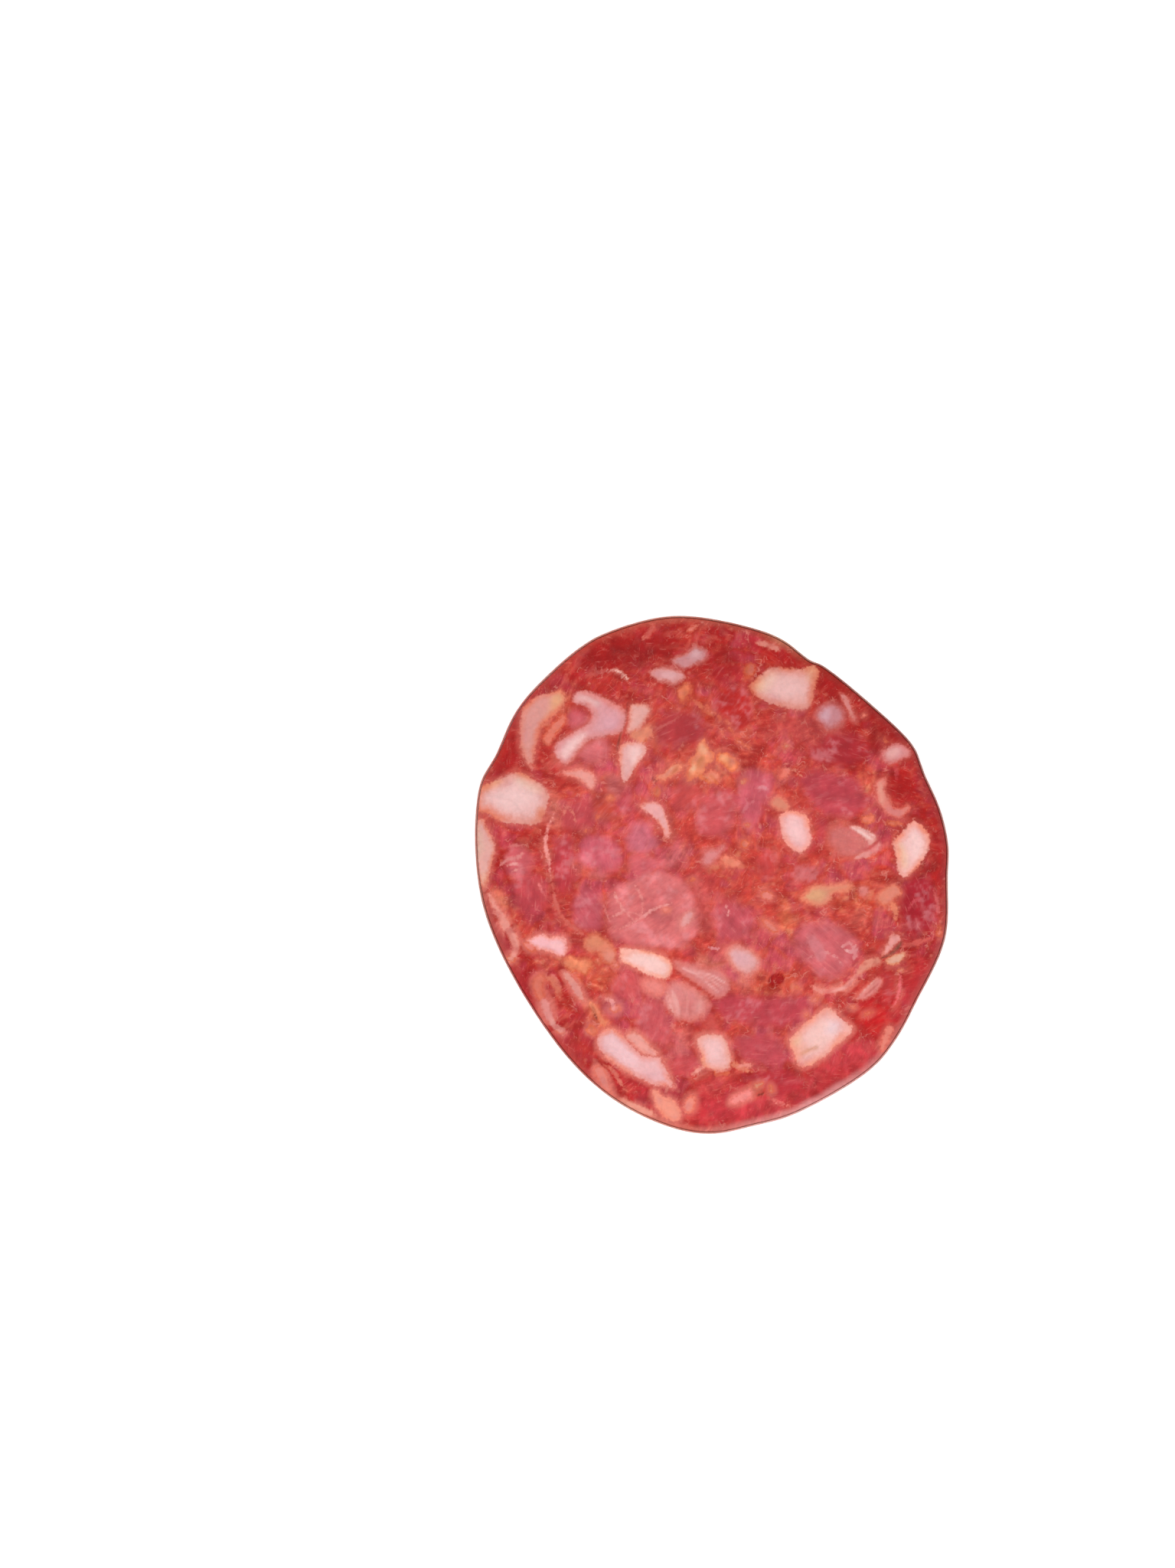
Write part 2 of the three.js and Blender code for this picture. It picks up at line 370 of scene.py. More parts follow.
# Dice of back fat and other pale bits: main colour, edge colour, softness of the edge in mm,
# how opaque it is, how far it stands up in mm, outline
PALE = [
    # the big die at the left and the long one that runs down the rim below it
    ("#E9B9B5", "#DC8068", 0.12, 1, 0.07, [
        (-24.2, 12.8), (-22.3, 12), (-21, 11), (-20.3, 9.9), (-20.2, 9.2), (-20.9, 7.2),
        (-21.8, 6.3), (-24, 6.3), (-25.6, 6.4), (-26.9, 6.9), (-28, 7.7), (-29.1, 7.8),
        (-29.1, 10.6), (-26.5, 11.8)]),
    ("#E5ADA4", "#DC8674", 0.12, 1, 0.05, [
        (-28.6, 7.1), (-27.6, 5.3), (-26.9, 3.5), (-27.5, 0.5), (-27.9, -1.2), (-28.4, -1.6),
        (-29.1, -0.5), (-29.5, 3), (-29.4, 6)]),
    ("#F8BCC0", "#F2A8A2", 0.14, 1, 0.05, [
        (-22.9, -8.2), (-21.8, -7.6), (-21, -7.3), (-20.2, -7.7), (-19.3, -7.7), (-18.3, -7.8),
        (-17.9, -8.9), (-18.4, -10), (-19.2, -10), (-20, -9.7), (-21.2, -9.4), (-22.2, -8.9)]),
    # the crescent at the upper left and the hooked piece beside it
    ("#DC9A92", "#E0826C", 0.15, 1, 0.05, [
        (-19, 23), (-18.4, 22.8), (-18.1, 22), (-18.4, 21), (-19.3, 19.9), (-20.2, 19.2),
        (-21, 18.5), (-21.5, 17.3), (-21.8, 16), (-22.3, 13.8), (-22.8, 13.8), (-23.8, 15.8),
        (-23.8, 19), (-23.5, 20.3), (-22.9, 21.3), (-22, 22), (-20.5, 22.6)]),
    ("#DE9EA2", "#DC8C8A", 0.16, 1, 0.05, [
        (-17, 22.4), (-16, 22.9), (-14.3, 22.4), (-12.6, 21.6), (-11.2, 20.9), (-10.7, 19.8),
        (-11, 18.2), (-11.8, 17.4), (-13.6, 17.1), (-15, 16.8), (-16, 16), (-17.2, 14.4),
        (-18.1, 13.5), (-19.1, 14.4), (-19.5, 15.6), (-19, 16.6), (-17.2, 17.7), (-15.6, 18.6),
        (-14.9, 19.4), (-15.1, 20.4), (-15.8, 21), (-17.2, 21.5)]),
    ("#E6ACA4", "#E08C7A", 0.14, 1, 0.05, [
        (-10.1, 21.2), (-9.2, 21.2), (-7.8, 20.9), (-7.6, 20.2), (-8.1, 19.4), (-8.5, 18.6),
        (-9.2, 17.9), (-10.1, 17.6), (-10.6, 17.9), (-10.3, 19.3)]),
    ("#EAB4B0", "#E69688", 0.12, 1, 0.05, [
        (-11.3, 16), (-10.5, 16.6), (-9.5, 16.5), (-8.5, 16.2), (-8.1, 15.6), (-8.4, 14.9),
        (-9, 14.2), (-10, 12.4), (-10.5, 11.6), (-11.1, 11.5), (-11.3, 12.5), (-11.6, 15)]),
    ("#EEA298", "#E68C82", 0.16, 0.95, 0.03, [
        (-18.6, 12.9), (-16.5, 13.1), (-15.3, 12.9), (-14.6, 12.3), (-14.4, 11.4), (-14.7, 10.8),
        (-15.2, 10.7), (-15.9, 11.3), (-17, 12), (-18.2, 12.3)]),
    # the two mauve bits near the top, cut thin over meat
    ("#CE9294", "#CC7E7A", 0.30, 0.92, 0.02, [
        (-5, 26.6), (-4.3, 27.2), (-3.2, 27.5), (-2.2, 28.7), (-1.7, 28.3), (-0.8, 28),
        (-0.5, 27.2), (-1.3, 26.4), (-2.4, 25.9), (-3.4, 25.6), (-4.3, 25.8)]),
    ("#DC9E9C", "#DA867C", 0.24, 0.95, 0.02, [
        (-7.7, 25), (-7.2, 25.5), (-6.2, 25.8), (-5, 25.7), (-4, 25.3), (-3.4, 24.8),
        (-3.5, 24.2), (-4.8, 23.6), (-5.6, 24), (-6.6, 24)]),
    # the large die at the upper right, and the small ones down the right side
    ("#E2A9A2", "#D67C66", 0.12, 1, 0.07, [
        (4.6, 23.1), (5.2, 24.2), (6.2, 25), (7.1, 25.7), (9, 25.7), (11.2, 25.6), (12.2, 26),
        (13, 25.8), (13.3, 25), (12.9, 23.2), (12.4, 21.3), (12, 20.7), (11.1, 20.4),
        (8.3, 20.9), (6.8, 21.4), (5.6, 22)]),
    ("#C88C92", "#C27274", 0.34, 0.9, 0.02, [
        (12.9, 19.9), (13.9, 21), (14.8, 21.4), (15.6, 21.2), (16.3, 20.6), (16.5, 19.8),
        (16.2, 18.9), (15.3, 18.3), (14.3, 18.2), (13.5, 18.8)]),
    ("#DC908E", "#D06C6A", 0.18, 1, 0.04, [
        (21, 14.6), (21.3, 15.4), (22.2, 16), (23.2, 16.2), (24, 16), (24.6, 15.4),
        (24.6, 14.8), (24, 14.4), (22.5, 13.7), (21.6, 13.8)]),
    ("#E4877B", "#DC6A5E", 0.2, 0.92, 0.03, [
        (21.5, 12.2), (20.3, 11.5), (20.2, 10.3), (20.4, 9.3), (20.9, 8.5), (21.6, 7.6),
        (22.3, 7.2), (23.2, 7), (24, 7.4), (24.7, 8.2), (24.3, 8.7), (23.5, 8.3), (22.7, 8.4),
        (22.2, 9), (21.9, 9.9), (21.5, 10.6), (21.8, 11.6)]),
    ("#F1C0BC", "#EE9680", 0.12, 1, 0.07, [
        (25, 6.7), (25.6, 6.5), (26.3, 5.9), (26.9, 5), (27, 4), (26.7, 2.7), (26.1, 1.6),
        (24.6, 0), (23.8, -0.4), (23.2, 0.2), (22.9, 1.3), (22.8, 2.6), (22.4, 3.9),
        (23.2, 4.9), (24.5, 6.3)]),
    ("#F2B8B6", "#F4A090", 0.10, 1, 0.06, [
        (8.3, 7.2), (8.9, 7.7), (9.8, 8), (11.5, 7.6), (11.9, 7), (12.3, 5.2), (12.4, 4.3),
        (12.1, 3.6), (11.6, 3.1), (11.3, 2.5), (10.9, 2.6), (9.5, 3.5), (9, 4.3), (8.7, 5.2),
        (8.5, 6.2)]),
    ("#E09078", "#EC9480", 0.22, 0.9, 0.02, [
        (7.2, 8.9), (7.7, 9.6), (8.5, 9.7), (9.2, 9.2), (9.6, 8.5), (9.2, 7.9), (8.4, 8)]),
    ("#EEAEAC", "#EA9688", 0.14, 1, 0.04, [
        (-9.1, 8.5), (-8.6, 8.8), (-7.6, 9.1), (-6.7, 8.9), (-6.1, 8.3), (-5.7, 7.4),
        (-5.4, 6.4), (-5.1, 5.2), (-5.2, 4.6), (-5.8, 4.9), (-6.2, 5.8), (-6.7, 6.5),
        (-7.4, 7.2), (-8.2, 7.8)]),
    ("#D88A82", "#CC6E68", 0.22, 0.9, 0.03, [
        (15.9, 22.7), (16.8, 22.2), (17.5, 20.7), (17.9, 19.1), (17.2, 19.4), (16.6, 20.7),
        (16, 21.8)]),
    ("#E68470", "#E07058", 0.20, 0.85, 0.02, [
        (-18.6, 20.2), (-18, 19.4), (-18.4, 18.4), (-19.4, 17.4), (-20.2, 16.2),
        (-20.9, 16.6), (-20.5, 17.8), (-19.8, 18.8), (-19, 19.6)]),
    ("#E08C70", "#E08A74", 0.24, 0.85, 0.02, [
        (-10, 18.2), (-9, 18.2), (-8, 18.6), (-7.2, 18), (-7.6, 17), (-8.6, 16.4),
        (-9.6, 16.6), (-10.4, 17.2)]),
    # the middle of the slice
    ("#ECB0AC", "#DE9690", 0.5, 0.75, 0.01, oval(-3.1, -5.5, 1.3, 0.7, 55)),
    ("#E09090", "#DA7C76", 0.30, 0.85, 0.02, [
        (-1.4, 1.8), (-1.1, 2.7), (-0.3, 3.2), (0.6, 3.2), (1.3, 3.9), (1.7, 3.8), (1.5, 3),
        (0.3, 1.5), (-0.3, 1), (-0.9, 1)]),
    ("#E6ABAA", "#E2948C", 0.24, 1, 0.04, [
        (1.7, -9.8), (2.2, -9.1), (3, -8.9), (4.2, -9.2), (5.2, -9.7), (5.8, -10.4),
        (5.8, -11.3), (5.2, -12), (4.3, -12.4), (3.3, -12), (2.6, -11.4), (2, -10.6)]),
    ("#F8C8C0", "#F6AC98", 0.12, 1, 0.06, [
        (-11.5, -9.7), (-11.3, -9.1), (-9.6, -9.2), (-8.2, -9.4), (-7, -9.7), (-6, -10.1),
        (-5.2, -10.8), (-4.9, -11.4), (-5.5, -12.8), (-6.3, -12.9), (-7.3, -12.7),
        (-8.4, -12.2), (-9.6, -11.6), (-10.8, -11.1), (-11.4, -10.7)]),
    ("#E48C72", "#E0784E", 0.3, 0.82, 0.02, [
        (-15.7, -7.6), (-14.6, -7.2), (-13.4, -7.8), (-12.2, -8.8), (-11.7, -10), (-12.2, -11.2),
        (-13.4, -10.9), (-14.1, -9.9), (-15.2, -9.7), (-15.9, -8.8)]),
    ("#E0908C", "#DC8480", 0.30, 0.8, 0.01, [
        (-4.7, -10.5), (-3.4, -10.8), (-2, -11), (-0.6, -11.3), (0.9, -11.7), (1.8, -12.5),
        (2.2, -13.8), (1.6, -15), (0.3, -15.3), (-1.6, -14), (-3.1, -13), (-4.7, -11.5)]),
    ("#E49492", "#E49692", 0.36, 0.8, 0.02, [
        (-6, -14.2), (-5.2, -13.4), (-4.2, -13.2), (-3.2, -13.5), (-1.8, -14.2), (-0.6, -15.2),
        (-0.3, -16.2), (-0.8, -17.4), (-2, -18), (-3.4, -18), (-4.6, -17.8), (-5.2, -16.9),
        (-5.9, -16.1)]),
    # the long die at the lower left, split by a groove, and the dice along the bottom
    ("#EFBABB", "#EC9484", 0.12, 1, 0.07, [
        (-14.2, -20.5), (-13.8, -19.6), (-13, -19.1), (-12, -19.2), (-11.2, -19.8),
        (-10.1, -21.1), (-9.1, -22), (-8.2, -22.5), (-6.6, -22.6), (-6, -23.6),
        (-4.8, -26.2), (-5.8, -26.2), (-7.2, -26.1), (-8.5, -25.5), (-10.6, -24.5),
        (-12.6, -23.2), (-13.5, -22.4), (-14.2, -21.4)]),
    ("#F2A89E", "#E88C7C", 0.12, 0.95, 0.04, [
        (-10.8, -20.1), (-10, -19.5), (-9, -19.7), (-8.2, -20.4), (-7.5, -21.3), (-6.8, -21.9),
        (-6.7, -22.3), (-7.2, -22.6), (-7.8, -22.4), (-8.4, -22.3), (-9.2, -21.7),
        (-10.2, -20.8)]),
    ("#F0B8B4", "#EE9C84", 0.12, 1, 0.06, [
        (-1.7, -20.2), (-1, -19.8), (0.2, -19.8), (1.2, -20), (1.8, -20.6), (2.1, -21.6),
        (2.4, -22.8), (2.3, -23.6), (1.7, -24.2), (0.8, -24.4), (-0.6, -24), (-1.3, -23.6),
        (-1.3, -22.6), (-1.9, -20.8)]),
    ("#F2BCB6", "#F2A08C", 0.10, 1, 0.07, [
        (9.5, -20.7), (10, -19.9), (11, -18.9), (12.2, -17.9), (13.9, -16.6),
        (14.6, -16.5), (15.6, -17.3), (16.6, -18.2), (17.5, -19.1), (16.8, -20.1),
        (15.1, -21.6), (13.2, -23.2), (12.2, -23.8), (11.2, -23.8), (10.4, -23.3),
        (10.2, -22.5)]),
    ("#F49A8C", "#EC8470", 0.14, 0.9, 0.03, [
        (10.2, -22.6), (11, -22.2), (12, -22.4), (12.7, -23.2), (12, -23.8), (11, -23.9),
        (10.4, -23.4)]),
    ("#F59F8A", "#F49682", 0.16, 0.95, 0.03, [
        (-7.4, -27), (-6.9, -26.6), (-6.2, -27.4), (-5.2, -27.6), (-4.4, -28.3), (-4, -29.2),
        (-3.8, -30), (-4.4, -30.7), (-5.4, -30.5), (-6.2, -29.8), (-6.9, -28.9), (-7.2, -28)]),
    ("#F49684", "#EA7C6A", 0.16, 0.9, 0.02, [
        (-3.4, -27.9), (-2.6, -27.4), (-2, -27.5), (-2, -28.5), (-2.4, -29.4), (-3.2, -29.6),
        (-3.6, -28.9)]),
    ("#FA9690", "#EA7472", 0.16, 0.95, 0.03, [
        (2.2, -28.4), (2.5, -27.6), (3.4, -27.1), (4.4, -26.6), (5, -26.8), (4.9, -27.6),
        (4, -28.1), (3.1, -28.5)]),
    ("#E89C90", "#DC7A6E", 0.16, 0.92, 0.03, [
        (-18.6, -11.9), (-18, -12), (-17.1, -12.8), (-16.4, -13.9), (-15.7, -15.2),
        (-15.5, -16), (-16.2, -15.8), (-17, -14.9), (-17.8, -13.7), (-18.4, -12.8)]),
    ("#DE7862", "#D4684E", 0.3, 0.9, 0.02, [
        (-22.2, -12.9), (-21.4, -12.2), (-20.5, -12.6), (-20.9, -13.8), (-20.7, -15.2),
        (-21.2, -15.9), (-21.9, -14.9), (-22.3, -13.8)]),
    ("#E4948E", "#D06C66", 0.25, 0.92, 0.02, [
        (-21.5, -15.8), (-20.9, -15.2), (-20.2, -15.4), (-19.7, -16.3), (-19.5, -17.8),
        (-19.7, -18.6), (-20.4, -18.3), (-21.1, -17.4)]),
    ("#F09088", "#EA867E", 0.5, 0.9, 0, oval(-7.1, -13.9, 1.6, 1, -20)),
    ("#F0946E", "#DA7A54", 0.32, 0.8, 0.02, [
        (-18.7, -11), (-17.7, -10.2), (-16.6, -10.5), (-15.6, -10.1), (-15, -11.2), (-15.6, -12.6),
        (-16.6, -12.1), (-17.6, -11.9)]),
    ("#E68A7E", "#E27C6C", 0.18, 0.95, 0.03, [
        (-14.5, -23.8), (-13.9, -23.7), (-13.3, -24.3), (-12.9, -25.3), (-12.3, -27.2),
        (-13, -27.2), (-13.6, -26.3), (-14.6, -24.7)]),
    ("#EE8C7C", "#E87C6C", 0.16, 0.95, 0.03, [
        (20.8, -21.5), (21, -20.6), (21.7, -18.9), (22.3, -18.7), (22.5, -19.3), (22.1, -20.2),
        (21.7, -21.2), (21.2, -22)]),
    # bits in the paste at the right
    ("#E8A49C", "#EAA098", 0.22, 0.92, 0.03, [
        (16.7, 6.1), (17.8, 6.2), (19.2, 5.7), (20.3, 5), (20.5, 4.2), (20, 3.5), (19.2, 3.3),
        (18.7, 4), (18.2, 4.5), (17.4, 5.5)]),
    ("#DA8480", "#D27068", 0.5, 0.65, 0, [
        (14.2, 5.6), (15.6, 6.7), (17.5, 6.4), (19.8, 5.5), (20.6, 4.2), (20, 3), (18, 1.8),
        (15.8, 2.2), (14.2, 3.8)]),
    ("#EAA29C", "#E0847E", 0.5, 0.85, 0, [
        (16.2, 5.2), (17.4, 4.9), (18.2, 3.9), (17.8, 3), (16.8, 3.2), (16, 4.2)]),
    ("#E88E78", "#DE7860", 0.18, 0.95, 0.02, [
        (20.5, -3.2), (20.8, -2.2), (21.4, -1.7), (22.4, -1.1), (23, -1.2), (23.6, -2),
        (23.5, -2.7), (22.7, -2.9), (22.2, -3.6), (21.3, -3.9)]),
    ("#E2967C", "#EE9A80", 0.26, 0.85, 0.02, [
        (11, -3), (11.6, -2.2), (12.4, -1.4), (13.4, -1.3), (15.6, -1.1), (16.6, -0.8),
        (17.3, -1.2), (17, -2), (15, -2.3), (14.9, -3), (14.2, -3.8), (13.2, -4),
        (12.2, -3.6)]),
    ("#EC948E", "#D87A70", 0.3, 0.7, 0.01, [
        (18.2, -1.5), (19.2, -1.4), (19.7, -2.2), (19, -2.9), (18.3, -2.5)]),
    ("#EA9E98", "#DA8478", 0.10, 1, 0.10, [
        (22.5, -7.3), (23.1, -7.5), (23.5, -8), (22.9, -8.6), (22.3, -9.3), (21.9, -9.9),
        (21.1, -10), (21.3, -9.2), (21.8, -8.5), (21.9, -7.8)]),
    ("#E6AE98", "#DE9070", 0.10, 1, 0.10, [
        (21.7, -10.4), (22.3, -9.9), (23, -9.7), (23.8, -9.6), (23.9, -10.1), (23.6, -10.8),
        (22.9, -11.2), (22.1, -11.3), (21.6, -11)]),
    ("#EA9690", "#DE7C72", 0.24, 0.8, 0.02, [
        (17.6, -15.6), (18.2, -14.6), (19.2, -13.7), (20.4, -12.7), (21.2, -12.9), (21, -14),
        (20, -15), (18.8, -15.6)]),
    # crumbs of fat in the oily patch above the middle
    ("#EA9074", "#E0806A", 0.12, 1, 0.03, [
        (-7.4, 12.3), (-6.4, 12.5), (-5.6, 13.1), (-4.9, 13.7), (-4.2, 13.9), (-3.6, 13.4),
        (-4.2, 12.6), (-5.3, 12), (-6.4, 11.7)]),
    ("#E28A68", "#E07C60", 0.12, 1, 0.03, [
        (-3.5, 12.5), (-2.8, 13.4), (-3, 14.3), (-2.2, 15), (-1.8, 16), (-1, 16.8),
        (-0.4, 15.9), (0.2, 15.2), (0.1, 14.2), (-0.6, 13.5), (-1, 12.6), (-2, 12),
        (-2.9, 11.6)]),
    ("#EC8A62", "#E07050", 0.12, 1, 0.03, [
        (0.5, 14.3), (1, 15.3), (1.9, 15.1), (2.9, 14.6), (3.3, 13.8), (2.8, 13),
        (1.9, 13), (1.2, 13.6)]),
    ("#E88A72", "#DC7460", 0.12, 1, 0.03, [
        (-0.9, 12.6), (0, 13.1), (0.8, 12.7), (1, 11.9), (0.2, 11.3), (-0.6, 11.7)]),
    ("#F08E74", "#EA7C66", 0.22, 0.9, 0.02, [
        (1, 1.8), (1.7, 2.5), (2.5, 2.2), (3.2, 1.9), (3.6, 1.3), (3, 0.9), (2, 1)]),
    ("#E47E5C", "#D06448", 0.22, 0.9, 0.02, [
        (-4.3, 22.9), (-3.3, 24), (-2.6, 23), (-2.8, 22.2), (-3.6, 21.3), (-4.3, 21.8)]),
    ("#D06A4A", "#CA5E44", 0.28, 0.9, 0.02, [
        (3.7, 25.5), (4.3, 26.3), (4.9, 26.4), (5.5, 25.6), (5.2, 24.8), (4.5, 24.5),
        (3.9, 24.9)]),
    ("#EC8070", "#E4745E", 0.2, 0.9, 0.02, [
        (8.3, 12.1), (8.7, 13.1), (9.2, 13.4), (9.8, 13.2), (9.6, 12.4), (8.8, 11.9)]),
]

# Where a die's own colour changes: stained by oil at one end, or whiter in its middle. Two thin
# dark lines in the curds above the middle are painted shade in the crevices between curds
FAT_TINTS = [
    ("#E2A47C", 0.85, 0.9, oval(-18.9, 22, 1.8, 1, 65)),
    ("#E29A78", 0.7, 0.7, oval(-19.9, 19.9, 1.2, 0.6, 60)),
    ("#F4CAC6", 0.8, 0.8, oval(-17.2, 16, 2.2, 0.8, 42)),
    ("#E3BAB6", 0.7, 0.7, oval(-15.4, 21.7, 1.4, 0.6, -20)),
    ("#DCA4B0", 0.5, 0.8, oval(-12.6, 18.8, 1.2, 1, 0)),
    ("#DCA080", 0.8, 0.8, oval(12.6, 24.8, 1.6, 0.9, -70)),
    ("#E8C0A8", 0.5, 0.8, oval(6.6, 24, 1.6, 1, 40)),
    ("#F2D0D0", 0.35, 1.2, oval(9.4, 23.2, 2.2, 1.4, 0)),
    ("#F4D2D0", 0.4, 1, oval(-24.6, 9.4, 2.4, 1.4, 0)),
    ("#DE7A56", 0.85, 0.5, oval(-23.1, 12.3, 1.6, 0.5, -25)),
    ("#EACBB8", 0.6, 0.7, oval(-22.8, 11.2, 1.6, 0.6, -30)),
    ("#DDB4B8", 0.6, 0.5, oval(-2, 27.4, 0.8, 0.5, 30)),
    ("#E2B0B4", 0.6, 0.4, oval(-5.4, 24.8, 0.9, 0.4, 0)),
    ("#D9B2BE", 0.6, 0.5, oval(14, 20, 0.7, 0.8, 0)),
    ("#EFC6C0", 0.35, 0.5, oval(22.4, 15.2, 1, 0.6, 20)),
    ("#F6D0CC", 0.6, 0.8, oval(25.4, 3.6, 1, 1.8, 10)),
    ("#F0C0A0", 0.7, 0.6, oval(23.6, 2.4, 0.6, 1.6, 10)),
    ("#F8CCCC", 0.6, 0.8, oval(10.4, 5.6, 1, 1.6, 10)),
    ("#FBD6D2", 0.35, 0.6, oval(-8.2, -10.9, 2.4, 0.8, -12)),
    ("#F3A08C", 0.6, 0.5, oval(-10.8, -9.9, 0.8, 0.5, 0)),
    ("#DDA8B0", 0.5, 0.6, oval(3.6, -10.4, 1.2, 0.8, -30)),
    ("#F4C8CC", 0.6, 0.8, oval(-11.2, -21.9, 2.6, 0.9, -40)),
    ("#E4ACB0", 0.5, 0.7, oval(-6.4, -25.2, 1.4, 0.7, -30)),
    ("#F3C6C6", 0.6, 0.8, oval(0.3, -21.8, 1, 1.4, 0)),
    ("#F8CCC4", 0.6, 1, oval(13.8, -19.6, 2.4, 1.4, 40)),
    ("#EFA890", 0.6, 0.7, oval(10.8, -21.6, 1, 0.9, 0)),
    ("#CF8A62", 0.85, 0.4, oval(12, -21.8, 1.2, 0.25, 25)),
    ("#E9A98C", 0.6, 0.6, oval(-28.2, -0.8, 0.6, 0.9, 0)),
    ("#C9B49C", 0.4, 0.6, oval(-29, 4.2, 0.4, 2.2, 0)),
    ("#F6CFCB", 0.6, 0.5, oval(-9.4, 14.6, 0.8, 1.4, 20)),
    ("#F8C2C0", 0.6, 0.5, oval(-19.2, -8.7, 0.8, 0.4, 0)),
    ("#D27C76", 0.5, 0.6, oval(-3, -16.4, 1.2, 0.9, 30)),
    ("#F0B0A8", 0.5, 0.5, oval(-4.9, -16.2, 0.5, 1.3, 0)),
    ("#EDAAA6", 0.5, 0.5, oval(-1.4, -16.6, 0.5, 0.9, 30)),
    ("#DE8480", 0.5, 0.6, oval(-2.6, -11.6, 1.6, 0.4, -12)),
    ("#E8CCD4", 0.6, 0.9, oval(15.4, -18.6, 1.4, 0.8, 40)),
    ("#F0BE9C", 0.7, 0.6, oval(10.4, -20.6, 0.5, 1, -40)),
    ("#E8B890", 0.6, 0.5, oval(12.2, 25.6, 1.2, 0.4, 0)),
    ("#EAB08A", 0.7, 0.6, oval(5.4, 23.6, 0.9, 0.7, 50)),
    ("#E2A084", 0.6, 0.5, oval(-20.9, 7.2, 0.6, 1.2, 30)),
    ("#E6AE88", 0.7, 0.5, oval(-27.6, 11.2, 1.6, 0.5, 18)),
    ("#DEB184", 0.7, 0.6, oval(13, -2.5, 1.6, 0.7, 10)),
    ("#E2966E", 0.5, 0.6, oval(-14.6, -8.2, 1, 0.6, -30)),
    ("#E6A598", 0.35, 0.6, oval(-12.6, -10.2, 0.7, 0.7, 0)),
    ("#F0B48E", 0.45, 0.3, oval(1.5, 14.4, 0.6, 0.4, 0)),
    ("#EFB494", 0.5, 0.3, oval(-1.1, 15.6, 0.4, 0.7, 20)),
    # Painted shade: a thin dark crevice between two curds
    ("#C87852", 0.7, 0.25, oval(-1.5, 14, 0.9, 0.2, 60)),
    ("#EFBA98", 0.7, 0.3, oval(-2.4, 13.2, 0.4, 0.4, 0)),
    ("#E9B090", 0.45, 0.3, oval(-5.4, 13.3, 0.8, 0.4, 30)),
    # Painted shade: a thin dark crevice between two curds
    ("#C4684A", 0.7, 0.25, oval(-4.6, 12.9, 0.7, 0.2, 50)),
    ("#EBAA98", 0.6, 0.4, oval(21, 10.2, 0.3, 1.4, 5)),
    ("#C98A68", 0.6, 0.3, oval(14.6, -2, 0.8, 0.2, 10)),
]

# Single crumbs of fat, a millimetre or so across: colour, then middle, long and short radius
# in mm and turn in degrees
CRUMBS = [
    ("#E07A60", [(-18.7, 19, 0.6, 0.4, 40), (-19.5, 18, 0.6, 0.4, 10), (-20.2, 17.3, 0.4, 0.3, 0),
                 (-9.2, 17.6, 0.7, 0.4, 20), (-8.2, 17, 0.6, 0.3, 80), (-6.8, 10.3, 0.5, 0.7, 0),
                 (4, 3.8, 0.5, 0.6, 0),
                 (-12.5, 9.6, 0.5, 0.4, 0), (-14.1, 7.2, 0.35, 0.3, 0), (-15.7, 5.4, 0.3, 0.3, 0),
                 (-2.4, -0.6, 0.4, 0.3, 0), (21.6, 16.6, 0.4, 0.3, 0), (-14.9, -19.3, 0.6, 0.8, 20),
                 (22.6, 6.4, 1.1, 0.4, -5), (19.4, 6.9, 0.9, 0.6, 20), (11.8, -22.9, 0.5, 0.3, 0)]),
    ("#E8887C", [(12.8, -15.5, 0.5, 0.35, 10), (11.8, -17.3, 0.35, 0.3, 0),
                 (-22.7, -8.9, 0.9, 0.5, -30), (17.5, -16.4, 0.4, 0.3, 0),
                 (-2.4, 30.6, 0.9, 0.35, 28), (-5.7, -4.3, 0.5, 0.4, 0),
                 (7.2, -6.4, 1.2, 0.5, -40),
                 (-0.6, 20.8, 0.5, 0.25, -60), (0.2, 20.1, 0.4, 0.25, -20),
                 (0.9, 19.4, 0.45, 0.25, -70), (1.9, 18.9, 0.4, 0.25, -30),
                 (2.4, 18, 0.5, 0.22, -50), (3.4, 16.6, 0.5, 0.25, -40),
                 (4.3, 16, 0.4, 0.25, -20), (1.3, 17.6, 0.35, 0.22, -60),
                 (18.9, 19.8, 0.35, 0.25, 0), (19.4, -17.2, 0.7, 0.3, 20),
                 (-18.9, -19.3, 0.8, 0.4, -25), (-12, -16.6, 0.7, 0.5, 0),
                 (-12, -11.2, 0.6, 0.45, 0), (28.3, -7, 0.4, 0.8, 0),
                 (3.8, -13.2, 0.6, 0.25, -30), (6.9, -2.6, 0.8, 0.6, -20)]),
    ("#D89078", [(5.8, -26.1, 0.7, 0.3, 20), (7.3, -26.6, 0.3, 0.6, 10),
                 (-0.4, 11.9, 0.9, 0.4, -30), (3.9, 11.6, 0.5, 0.3, 40),
                 (-24.9, -10.4, 0.6, 0.5, 0), (4.4, 6.2, 0.4, 0.3, 0), (9.2, 16, 0.5, 0.4, 0),
                 (10.6, -14, 0.4, 0.3, 0), (23.4, -12, 0.5, 0.4, 20)]),
]
